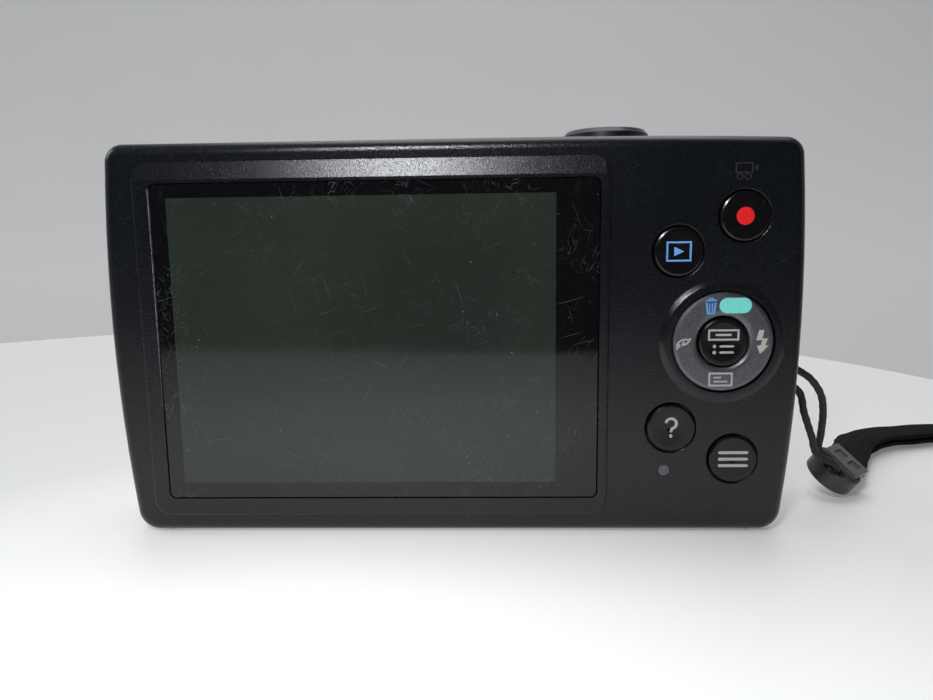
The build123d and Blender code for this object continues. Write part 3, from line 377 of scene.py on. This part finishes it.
FINISH = {
    "body_plastic": body_plastic(),
    "window": window_plastic(),
    "key_cap": gloss_key(),
    "ring_metal": ring_metal(),
    "lever_metal": turned_metal("lever_metal", (0.085, 0.085, 0.095), 0.24, 0.9, ROUND_LEVER),
    "lens_metal": turned_metal("lens_metal", (0.34, 0.35, 0.37), 0.26, 1.0, ROUND_LENS),
    "trim_metal": turned_metal("trim_metal", (0.14, 0.14, 0.15), 0.24, 1.0, ROUND_LENS),
    "lens_glass": clear_plastic("lens_glass", (0.020, 0.016, 0.045)),
    "lamp_glass": clear_plastic("lamp_glass", (0.55, 0.54, 0.50), 0.08),
    "reflector": turned_metal("reflector", (0.85, 0.85, 0.83), 0.1),
    "inner_plastic": plain_plastic("inner_plastic", (0.022, 0.022, 0.024), 0.5),
    "board": plain_plastic("board", (0.012, 0.085, 0.035), 0.35),
    "sheet_metal": turned_metal("sheet_metal", (0.56, 0.57, 0.58), 0.3),
    "steel": turned_metal("steel", (0.42, 0.42, 0.44), 0.28),
    "plated": turned_metal("plated", (0.62, 0.62, 0.63), 0.18),
    "brass_part": turned_metal("brass_part", (0.55, 0.43, 0.22), 0.3),
    "battery_case": plain_plastic("battery_case", (0.09, 0.09, 0.1), 0.45),
    "card_case": plain_plastic("card_case", (0.02, 0.035, 0.09), 0.35),
    "film": plain_plastic("film", (0.42, 0.42, 0.38), 0.25),
    "foam_tape": plain_plastic("foam_tape", (0.02, 0.02, 0.02), 0.8),
    "panel": clear_plastic("panel", (0.02, 0.028, 0.022), 0.1),
    "soft_cover": plain_plastic("soft_cover", (0.013, 0.014, 0.016), 0.5),
    "cord": cord_yarn(),
    "webbing": webbing_weave(),
    "connector": plain_plastic("connector", (0.040, 0.040, 0.042), 0.30, 2600.0),
    # Paler grey of the connector's block faces: a painted highlight for the light they catch.
    "connector_block": plain_plastic("connector_block", (0.125, 0.125, 0.127), 0.46, 2600.0),
    "light": plain_plastic("light", (0.12, 0.12, 0.13), 0.4),
}
SLOT_OF = {row["node"]: row["material_slot"] for row in frame["record"]["subparts"]}
for node_name, node in frame["nodes"].items():
    node.data.materials.clear()
    node.data.materials.append(FINISH[SLOT_OF[node_name]])


# ---------------------------------------------------------------- mesh helpers
def finish_piece(name, mesh_data, material, body):
    """Wraps a bmesh as a piece that rides on a body."""
    bmesh.ops.recalc_face_normals(mesh_data, faces=mesh_data.faces)
    mesh = bpy.data.meshes.new(name)
    mesh_data.to_mesh(mesh)
    mesh_data.free()
    piece = bpy.data.objects.new(name, mesh)
    bpy.context.scene.collection.objects.link(piece)
    piece.data.materials.append(material)
    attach(piece, body)
    return piece


SHARPEST_MITRE = 0.35
SAME_POINT = 1e-9


def stroke(points, width, closed=False):
    """Outline of a pen stroke as quads: list of 2D points in, (points, faces) out."""
    count = len(points)
    left, right = [], []
    for i, (u, v) in enumerate(points):
        before = points[(i - 1) % count] if closed or i else points[0]
        after = points[(i + 1) % count] if closed or i < count - 1 else points[-1]
        d0 = Vector((u - before[0], v - before[1]))
        d1 = Vector((after[0] - u, after[1] - v))
        d0 = d1 if d0.length < SAME_POINT else d0
        d1 = d0 if d1.length < SAME_POINT else d1
        way = (d0.normalized() + d1.normalized()).normalized()
        mitre = max(SHARPEST_MITRE, way.dot(d1.normalized()))
        side = Vector((-way.y, way.x)) * width / 2 / mitre
        left.append((u + side.x, v + side.y))
        right.append((u - side.x, v - side.y))
    faces = []
    for i in range(count if closed else count - 1):
        j = (i + 1) % count
        faces.append((i, j, count + j, count + i))
    return left + right, faces


def fill(points):
    """A filled outline."""
    return list(points), [tuple(range(len(points)))]


def arc(centre, r, start, end, steps=16):
    """Points along a circle, angles in degrees."""
    angles = [math.radians(start + (end - start) * i / steps) for i in range(steps + 1)]
    return [(centre[0] + r * math.cos(a), centre[1] + r * math.sin(a)) for a in angles]


def pill(centre, length, height, steps=10):
    """Outline of a bar with round ends."""
    r = height / 2
    dx = length / 2 - r
    return (arc((centre[0] + dx, centre[1]), r, -90, 90, steps)
            + arc((centre[0] - dx, centre[1]), r, 90, 270, steps))


PRINT_LIFT = 0.02 * MM
PRINT_THICK = 0.05 * MM
SIGN_LIFT = 0.13 * MM
CAP_FLAT_EDGE = 0.7 * MM
CAP_DISH = 0.18 * MM
CAP_FLANGE = 0.72 * MM


def dished(node):
    """Centre of a round key, and its surface height (Y) as a function of radius."""
    low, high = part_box(node)
    centre = (low + high) / 2
    flat_r = (high.x - low.x) / 2 - CAP_FLANGE - CAP_FLAT_EDGE
    return centre, lambda r: low.y + CAP_DISH * max(0.0, 1 - r / flat_r)


def flat_face(node):
    """Centre of a flat-topped part, and its surface height (Y)."""
    low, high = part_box(node)
    return (low + high) / 2, lambda r: low.y


def print_mark(name, surface, shapes, material, body, lift=PRINT_LIFT):
    """Thin printed mark on the screen side of a key; shapes are in millimetres from its centre."""
    centre, height = surface
    marks = bmesh.new()
    for points, faces in shapes:
        tops, bottoms = [], []
        for u, v in points:
            y = height(math.hypot(u, v) * MM)
            x, z = centre.x + u * MM, centre.z + v * MM
            tops.append(marks.verts.new((x, y - lift, z)))
            bottoms.append(marks.verts.new((x, y - PRINT_LIFT + PRINT_THICK, z)))
        edges = {}
        for face in faces:
            marks.faces.new([tops[i] for i in face])
            marks.faces.new([bottoms[i] for i in reversed(face)])
            for a, b in zip(face, face[1:] + face[:1]):
                edges[frozenset((a, b))] = edges.get(frozenset((a, b)), 0) + 1
        for edge, uses in edges.items():
            if uses == 1:
                a, b = tuple(edge)
                marks.faces.new((tops[a], tops[b], bottoms[b], bottoms[a]))
    finish_piece(name, marks, material, body)


# ---------------------------------------------------------------- printed marks
INK_BLUE = print_ink("ink_blue", (0.17, 0.46, 1.0))
INK_RED = print_ink("ink_red", (1.0, 0.022, 0.028), 0.3)
INK_TEAL = print_ink("ink_teal", (0.24, 0.90, 0.80))
INK_GREY = print_ink("ink_grey", (0.50, 0.50, 0.48))
INK_WARM = print_ink("ink_warm", (0.60, 0.56, 0.49))
# The camcorder sign is raised body plastic; its paler grey is a painted highlight for the light its raised
# edges catch.
PAINTED_SHEEN_SIGN = print_ink("moulded_sign_painted_sheen", (0.030, 0.032, 0.037), 0.24)

print_mark("record_dot", dished("movie_button"), [fill(arc((0, 0), 1.2, 0, 352.5, 47))], INK_RED, "movie")

frame_box = [(-1.58, -1.24), (1.58, -1.24), (1.58, 1.24), (-1.58, 1.24)]
print_mark("play_mark", dished("playback_button"),
           [stroke(frame_box, 0.24, True), fill([(-0.62, -0.64), (0.7, 0.0), (-0.62, 0.64)])],
           INK_BLUE, "playback")

hook = arc((0, 0.62), 0.74, 172, -50, 18) + [(0.12, -0.16), (0.0, -0.62)]
print_mark("help_mark", dished("help_button"),
           [stroke(hook, 0.38), fill(arc((0.0, -1.16), 0.24, 0, 340, 17))], INK_GREY, "help")

menu_bars = [fill(pill((0, v), 4.2, 0.42)) for v in (0.95, 0.0, -0.95)]
print_mark("menu_mark", dished("menu_button"), menu_bars, INK_GREY, "menu")

select_rows = [stroke([(-2.0, 0.35), (2.0, 0.35), (2.0, 1.65), (-2.0, 1.65)], 0.26, True),
               fill(pill((0, 1.0), 2.2, 0.3))]
for row_v in (-0.6, -1.45):
    select_rows += [fill(pill((-1.2, row_v), 0.5, 0.5)), fill(pill((0.5, row_v), 2.0, 0.3))]
print_mark("select_mark", dished("select_button"), select_rows, INK_GREY, "select")

ring_face = flat_face("nav_ring")
BIN_U, BIN_V = -1.85, 4.95
bin_shape = [stroke([(BIN_U - 0.62, BIN_V + 0.55), (BIN_U - 0.45, BIN_V - 0.95),
                     (BIN_U + 0.45, BIN_V - 0.95), (BIN_U + 0.62, BIN_V + 0.55)], 0.22),
             stroke([(BIN_U - 0.8, BIN_V + 0.78), (BIN_U + 0.8, BIN_V + 0.88)], 0.2),
             stroke([(BIN_U - 0.2, BIN_V + 0.9), (BIN_U - 0.2, BIN_V + 1.12),
                     (BIN_U + 0.22, BIN_V + 1.12), (BIN_U + 0.22, BIN_V + 0.9)], 0.16)]
bin_shape += [stroke([(BIN_U + du, BIN_V + 0.45), (BIN_U + du * 0.9, BIN_V - 0.75)], 0.16)
              for du in (-0.2, 0.2)]
print_mark("bin_mark", ring_face, bin_shape, INK_BLUE, "ring")
print_mark("pill_mark", ring_face, [fill(pill((1.5, 5.05), 4.4, 2.15))], INK_TEAL, "ring")

bolt = [(4.87, 1.64), (5.55, 1.64), (5.30, 0.45), (6.08, 0.49), (5.72, -0.52), (6.24, -0.52),
        (5.09, -1.70), (4.60, -0.55), (5.09, -0.52), (5.33, 0.21), (4.45, 0.24)]
print_mark("bolt_mark", ring_face, [fill(bolt)], INK_WARM, "ring")

screen_mark = [stroke([(-1.75, -6.1), (1.35, -6.1), (1.35, -4.4), (-1.75, -4.4)], 0.26, True),
               stroke([(-1.15, -5.55), (0.75, -5.55)], 0.22), stroke([(-1.15, -4.98), (-0.1, -4.98)], 0.22)]
print_mark("display_mark", ring_face, screen_mark, INK_GREY, "ring")

leaf = ([(-6.3, -0.7)] + arc((-5.2, -0.85), 1.25, 160, 75, 8) + arc((-5.75, 0.85), 1.25, -20, -105, 8))
print_mark("leaf_mark", ring_face, [stroke(leaf, 0.24, True), stroke([(-6.4, -1.0), (-5.3, 0.1)], 0.2)],
           INK_GREY, "ring")


def movie_pictogram():
    """Small moulded camcorder sign above the movie key, coloured paler than the body as a painted highlight
    on its raised edges.
    """
    low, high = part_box("movie_button")
    shift_left, gap_above, cover_step = 0.2 * MM, 1.75 * MM, 0.8 * MM
    centre = Vector(((low.x + high.x) / 2 - shift_left, 0, high.z + gap_above))
    cover_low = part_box("rear_cover")[0].y + cover_step
    shapes = [stroke([(-1.25, -0.1), (0.95, -0.1), (0.95, 1.15), (-1.25, 1.15)], 0.2, True),
              fill([(1.2, 0.4), (1.65, 0.05), (1.65, 1.05), (1.2, 0.7)]),
              stroke(arc((-0.7, -0.65), 0.38, 0, 337, 15), 0.16, True),
              stroke(arc((0.4, -0.65), 0.38, 0, 337, 15), 0.16, True)]
    print_mark("camcorder_sign", (centre, lambda r: cover_low), shapes, PAINTED_SHEEN_SIGN, "camera_body",
               SIGN_LIFT)


movie_pictogram()


# ---------------------------------------------------------------- strap
def mm(*values):
    """A place given in millimetres."""
    return Vector(values) * MM


LENGTH_WAY = Vector((0.741, 0.672, 0)).normalized()
LEAN = math.radians(36)
ACROSS_WAY = Vector((LENGTH_WAY.y, -LENGTH_WAY.x, 0))
WIDTH_WAY = ACROSS_WAY * math.cos(LEAN) + Vector((0, 0, -math.sin(LEAN)))
SLOT_NORMAL = -LENGTH_WAY.cross(WIDTH_WAY)
TAB_CENTRE = mm(61.9, 7.7, 3.65)
TAB_HALF_THICK = 1.36 * MM
BLOCK_EDGE = -0.15 * MM

CORD_PLACE = TAB_CENTRE - LENGTH_WAY * 2.1 * MM - WIDTH_WAY * 0.4 * MM
CORD_APART = 1.4 * MM
CORD_R = 0.56 * MM
CORD_STEP = 0.09 * MM
CORD_SIDES = 20
BAR_CLEARANCE = 0.72 * MM
YARNS = 4
BRAID_DEPTH = 0.05
BRAID_LAY = 1.5 * MM

BAND_START = 4.65 * MM
BAND_STEP = 0.5 * MM
BAND_HALF_WIDE = 3.2 * MM
BAND_HALF_THICK = 0.52 * MM
BAND_SIDES = 28
LAYER_GAP = 0.60 * MM
FOLD_STEPS = 8
UNTWIST_LENGTH = 22 * MM
LYING_LEAN = math.radians(4)
RIPPLE, RIPPLES_PER_METRE = 0.02, 900
RIB_DEPTH, RIBS = 0.05, 6.0
CURVE_STEPS = 60


def frames_along(points, up=Vector((0, 0, 1))):
    """Smooth frames (place, side, up) along a chain of points, without twist."""
    result = []
    side = None
    for i, p in enumerate(points):
        tangent = (points[min(i + 1, len(points) - 1)] - points[max(i - 1, 0)]).normalized()
        if side is None:
            side = tangent.cross(up).normalized()
        side = (side - tangent * side.dot(tangent)).normalized()
        result.append((p, side, side.cross(tangent).normalized()))
    return result


def smooth_chain(controls, step):
    """Catmull-Rom curve through the controls, sampled evenly."""
    dense = []
    ends = [controls[0] * 2 - controls[1]] + list(controls) + [controls[-1] * 2 - controls[-2]]
    for i in range(1, len(ends) - 2):
        p0, p1, p2, p3 = ends[i - 1:i + 3]
        for k in range(CURVE_STEPS):
            t = k / CURVE_STEPS
            dense.append(0.5 * ((2 * p1) + (p2 - p0) * t + (2 * p0 - 5 * p1 + 4 * p2 - p3) * t * t
                                + (3 * p1 - p0 - 3 * p2 + p3) * t ** 3))
    dense.append(controls[-1])
    chain = [dense[0]]
    since = 0.0
    for a, b in zip(dense, dense[1:]):
        since += (b - a).length
        if since >= step:
            chain.append(b)
            since = 0.0
    return chain


def soft_piece(name, mesh_data, slot, node):
    """A smooth-shaded piece of the strap that stands for a plain CAD solid."""
    piece = finish_piece(name, mesh_data, FINISH[slot], "strap")
    for polygon in piece.data.polygons:
        polygon.use_smooth = True
    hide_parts(node)


def cord_path():
    """Middle line of the cord loop: from the connector's slot, up and round the strap bar, and back."""
    bar = middle("strap_bar")
    bar_low, bar_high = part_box("strap_bar")
    turn_r = (bar_high.x - bar_low.x) / 2 + BAR_CLEARANCE
    first_end = CORD_PLACE - WIDTH_WAY * CORD_APART / 2
    second_end = CORD_PLACE + WIDTH_WAY * CORD_APART / 2
    rise = SLOT_NORMAL * 2.2 * MM - LENGTH_WAY * 0.5 * MM
    upper = [mm(58.67, 6.2, 7.8), mm(58.7, 5.9, 10.5), mm(58.66, 5.5, 14.0), mm(57.98, 5.1, 17.0),
             mm(56.2, 4.7, 19.5), mm(54.1, 4.4, 21.0), mm(50.3, 4.3, 23.3)]
    lower = [mm(50.0, 4.0, 20.2), mm(53.9, 4.0, 17.9), mm(55.1, 4.2, 14.3), mm(56.6, 4.5, 10.4),
             mm(57.8, 4.9, 7.3)]
    around = [Vector((bar.x + turn_r * math.cos(math.radians(a)), bar.y,
                      bar.z + turn_r * math.sin(math.radians(a)))) for a in (80, 130, 180, 230, 280)]
    controls = [first_end, first_end + rise] + upper + around + lower + [second_end + rise, second_end]
    return smooth_chain(controls, CORD_STEP)


def braided_cord():
    """Round cord whose crossing yarns stand a little proud of its surface."""
    body = bmesh.new()
    rows = []
    length = 0.0
    last = None
    for p, side, up in frames_along(cord_path()):
        length += (p - last).length if last is not None else 0.0
        last = p
        lay = length / BRAID_LAY * math.tau
        row = []
        for k in range(CORD_SIDES):
            angle = math.tau * k / CORD_SIDES
            plait = max(0.0, math.sin(YARNS * angle + lay), math.sin(YARNS * angle - lay))
            r = CORD_R * (1 - BRAID_DEPTH + BRAID_DEPTH * 2 * plait * plait)
            row.append(body.verts.new(p + side * r * math.cos(angle) + up * r * math.sin(angle)))
        rows.append(row)
    for a, b in zip(rows, rows[1:]):
        for k in range(CORD_SIDES):
            j = (k + 1) % CORD_SIDES
            body.faces.new((a[k], a[j], b[j], b[k]))
    body.faces.new(rows[0])
    body.faces.new(list(reversed(rows[-1])))
    soft_piece("braided_cord", body, "cord", "strap_cord")


def band_sections():
    """Frames (place, width, face) out along one layer, round the fold and back along the other."""
    run = [TAB_CENTRE + LENGTH_WAY * BAND_START, mm(73.6, 25.3, 2.4), mm(77.7, 30.2, 2.2),
           mm(83.4, 34.6, 2.0), mm(88.6, 36.5, 1.8), mm(97.0, 39.0, 1.6), mm(105.0, 38.0, 1.5),
           mm(112.0, 32.0, 1.5), mm(117.6, 23.0, 1.5), mm(119.0, 12.5, 1.5), mm(115.0, 3.0, 1.5)]
    chain = smooth_chain(run, BAND_STEP)
    path = []
    for i, p in enumerate(chain):
        tangent = (chain[min(i + 1, len(chain) - 1)] - chain[max(i - 1, 0)]).normalized()
        across = Vector((tangent.y, -tangent.x, 0)).normalized()
        share = min(1.0, i * BAND_STEP / UNTWIST_LENGTH)
        lean = LEAN * (1 - share * share * (3 - 2 * share)) + LYING_LEAN
        wide = (across * math.cos(lean) + Vector((0, 0, -math.sin(lean)))).normalized()
        path.append((p, tangent, wide, tangent.cross(wide).normalized()))
    near = [(p + face * LAYER_GAP, wide, face) for p, _, wide, face in path]
    far = [(p - face * LAYER_GAP, wide, -face) for p, _, wide, face in reversed(path)]
    p, tangent, wide, face = path[-1]
    fold = []
    for k in range(1, FOLD_STEPS):
        angle = math.pi * k / FOLD_STEPS
        out = face * math.cos(angle) + tangent * math.sin(angle)
        fold.append((p + out * LAYER_GAP, wide, out))
    return near + fold + far


def band_profile():
    """Rounded flat outline of one layer, as (width, thickness) pairs."""
    profile = []
    for k in range(BAND_SIDES):
        angle = math.tau * k / BAND_SIDES
        c, s = math.cos(angle), math.sin(angle)
        profile.append((BAND_HALF_WIDE * math.copysign(abs(c) ** 0.35, c),
                        BAND_HALF_THICK * math.copysign(abs(s) ** 0.6, s)))
    return profile


def webbing_band():
    """Woven band folded double: two layers side by side that join in a fold at the far end."""
    band = bmesh.new()
    uv_layer = band.loops.layers.uv.new("weave")
    rows, lengths = [], []
    length = 0.0
    last = None
    for p, wide, face in band_sections():
        length += (p - last).length if last is not None else 0.0
        last = p
        ripple = 1 + RIPPLE * math.sin(length * RIPPLES_PER_METRE)
        row = []
        for wide_part, thick_part in band_profile():
            rib = 1 + RIB_DEPTH * math.cos(wide_part / BAND_HALF_WIDE * math.pi * RIBS)
            row.append(band.verts.new(p + wide * wide_part * ripple + face * thick_part * rib))
        rows.append(row)
        lengths.append(length / MM)
    girth = 4 * (BAND_HALF_WIDE + BAND_HALF_THICK) / MM
    for i in range(len(rows) - 1):
        for k in range(BAND_SIDES):
            j = (k + 1) % BAND_SIDES
            quad = band.faces.new((rows[i][k], rows[i][j], rows[i + 1][j], rows[i + 1][k]))
            corners = ((lengths[i], k), (lengths[i], k + 1), (lengths[i + 1], k + 1), (lengths[i + 1], k))
            for loop, (u, v) in zip(quad.loops, corners):
                loop[uv_layer].uv = (u, v / BAND_SIDES * girth)
    band.faces.new(rows[0])
    band.faces.new(list(reversed(rows[-1])))
    soft_piece("woven_strap", band, "webbing", "strap_webbing")


def paint_block_highlight():
    """The connector's clamping block is painted a paler grey than its tab on its broad faces: a painted
    highlight standing in for the light these faces catch.
    """
    mesh = frame["nodes"]["strap_connector"].data
    mesh.materials.append(FINISH["connector_block"])
    # The block's broad faces take the painted highlight grey; its sides keep the tab's darker finish.
    for polygon in mesh.polygons:
        offset = polygon.center - TAB_CENTRE
        in_block = offset.dot(LENGTH_WAY) > BLOCK_EDGE and abs(offset.dot(SLOT_NORMAL)) > TAB_HALF_THICK
        polygon.material_index = int(in_block)


braided_cord()
webbing_band()
paint_block_highlight()


# ---------------------------------------------------------------- spring under the shutter button
def pressed_spring():
    """A copy of the shutter spring, riding on the camera body in place of its CAD part."""
    piece = bpy.data.objects.new("coil_spring", frame["nodes"]["shutter_spring"].data.copy())
    bpy.context.scene.collection.objects.link(piece)
    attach(piece, "camera_body")
    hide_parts("shutter_spring")
    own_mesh(piece)


pressed_spring()


# ---------------------------------------------------------------- table, wall and shade
FLOOR_GAP = 0.02 * MM
FLOOR_Z = CAD_BOX[0][2] - FLOOR_GAP
TABLE_CENTRE, TABLE_R, TABLE_NEAR = (-0.0702, 0.0555), 0.2138, -0.9
# Middle and reach of the table's painted pool of light.
GLOW_PLACE, GLOW_R = (-0.018, -0.045), 0.085
WALL_Y, WALL_HALF_WIDE, WALL_LOW, WALL_HIGH = 1.1, 4.0, -1.0, 4.0
CARD_HALF_WIDE, CARD_LEFT_Y, CARD_RIGHT_Y, CARD_TOP = 0.45, -0.235, -0.145, 0.32
WHITE = (1.0, 1.0, 1.0, 1.0)


def stage_material(name, colour, rough):
    """Nodes of a plain stage surface, for more inputs to be added."""
    n = Nodes(name)
    cloud = n.noise(6.0, 3.0)
    base = n.mix(n.ramp(cloud, 0.3, 0.7), tuple(c * 0.97 for c in colour), colour)
    n.set(color=base, rough=rough, normal=n.bump(n.noise(900.0, 2.0), 0.00002, 0.2))
    return n


def lit_table():
    """White table that glows as a painted pool of light, brightest just in front of the object, and clear
    when it is looked at from below.
    """
    n = stage_material("table_white", (0.78, 0.78, 0.77), 0.42)
    across = n.math("SUBTRACT", n.axis("X"), GLOW_PLACE[0])
    along = n.math("SUBTRACT", n.axis("Y"), GLOW_PLACE[1])
    square = n.math("ADD", n.math("MULTIPLY", across, across), n.math("MULTIPLY", along, along))
    away = n.math("SQRT", square)
    from_above = n.math("SUBTRACT", 1.0, n.add("ShaderNodeNewGeometry").outputs["Backfacing"])
    # Painted pool of light: the table's glow is strongest at GLOW_PLACE and falls off over GLOW_R.
    n.set(glow=WHITE, glow_strength=n.ramp(away, 0.0, GLOW_R, 0.56, 0.13), alpha=from_above)
    return n.material


def lit_wall():
    """Grey wall that glows as painted light, a little brighter towards the table."""
    n = stage_material("wall_grey", (0.66, 0.665, 0.67), 0.9)
    # Painted light: the wall's glow is strongest at the table's height and weaker higher up.
    n.set(glow=WHITE, glow_strength=n.ramp(n.axis("Z"), 0.0, 0.45, 0.26, 0.12))
    return n.material


def sheet(name, corners, material):
    """A flat stage surface from its corners, in metres."""
    mesh = bpy.data.meshes.new(name)
    mesh.from_pydata([tuple(c) for c in corners], [], [tuple(range(len(corners)))])
    piece = bpy.data.objects.new(name, mesh)
    bpy.context.scene.collection.objects.link(piece)
    piece.data.materials.append(material)
    return piece


def upright(name, left, right, low, high, material):
    """An upright rectangle between two floor places."""
    return sheet(name, [(*left, low), (*right, low), (*right, high), (*left, high)], material)


table_edge = arc(TABLE_CENTRE, TABLE_R, 0, 180, 90)
table_edge = [(table_edge[0][0], TABLE_NEAR)] + table_edge + [(table_edge[-1][0], TABLE_NEAR)]
sheet("table", [(x, y, FLOOR_Z) for x, y in table_edge], lit_table())
upright("backdrop", (-WALL_HALF_WIDE, WALL_Y), (WALL_HALF_WIDE, WALL_Y), WALL_LOW, WALL_HIGH, lit_wall())
shade_card = upright("shade_card", (-CARD_HALF_WIDE, CARD_LEFT_Y), (CARD_HALF_WIDE, CARD_RIGHT_Y),
                     FLOOR_Z, CARD_TOP, stage_material("shade_card", (0.018, 0.020, 0.020), 0.9).material)
shade_card.visible_camera = False


# ---------------------------------------------------------------- light and camera
def area_light(name, place, target, size, power, colour=(1.0, 1.0, 1.0), height=None):
    """Soft lamp that faces its target; with a height it is a rectangle, otherwise a square."""
    light = bpy.data.lights.new(name, "AREA")
    light.energy = power
    light.color = colour
    light.size = size
    if height:
        light.shape = "RECTANGLE"
        light.size_y = height
    lamp = bpy.data.objects.new(name, light)
    bpy.context.scene.collection.objects.link(lamp)
    lamp.location = place
    lamp.rotation_euler = (Vector(target) - Vector(place)).to_track_quat("-Z", "Y").to_euler()


area_light("table_light", (0.0, 0.62, 1.25), (0, 0.1, 0), 1.0, 4.5)
area_light("flash", (-0.023, -0.135, 0.130), (-0.005, 0.0, 0.03), 0.026, 0.15, (0.93, 0.945, 1.0), 0.016)
area_light("left_window", (-1.5, 0.1, 0.9), (0, 0, 0.03), 0.7, 5.0, (0.94, 0.97, 1.0))
area_light("wall_wash", (0.2, 0.3, 1.9), (0.0, 1.1, 0.4), 1.2, 7.5)

world = bpy.data.worlds.new("room")
bpy.context.scene.world = world
world.use_nodes = True
background = world.node_tree.nodes["Background"]
background.inputs["Color"].default_value = (0.62, 0.65, 0.68, 1.0)
background.inputs["Strength"].default_value = 0.32
bpy.context.scene.view_settings.view_transform = "Standard"

EYE_PLACE = Vector((0.0054, -0.1100, 0.0414))
YAW, PITCH, ROLL = math.radians(-1.9), math.radians(8.26), math.radians(-0.76)
lens = bpy.data.cameras.new("view")
lens.sensor_width = 36.0
lens.lens = 28.0
lens.clip_start = 0.005
eye = bpy.data.objects.new("view", lens)
bpy.context.scene.collection.objects.link(eye)
forward = Vector((math.sin(YAW) * math.cos(PITCH), math.cos(YAW) * math.cos(PITCH), -math.sin(PITCH)))
level_right = Vector((math.cos(YAW), -math.sin(YAW), 0))
level_up = level_right.cross(forward)
right = level_right * math.cos(ROLL) + level_up * math.sin(ROLL)
up = level_up * math.cos(ROLL) - level_right * math.sin(ROLL)
turned = Matrix((right, up, -forward)).transposed()
eye.matrix_world = Matrix.Translation(EYE_PLACE) @ turned.to_4x4()
bpy.context.scene.camera = eye
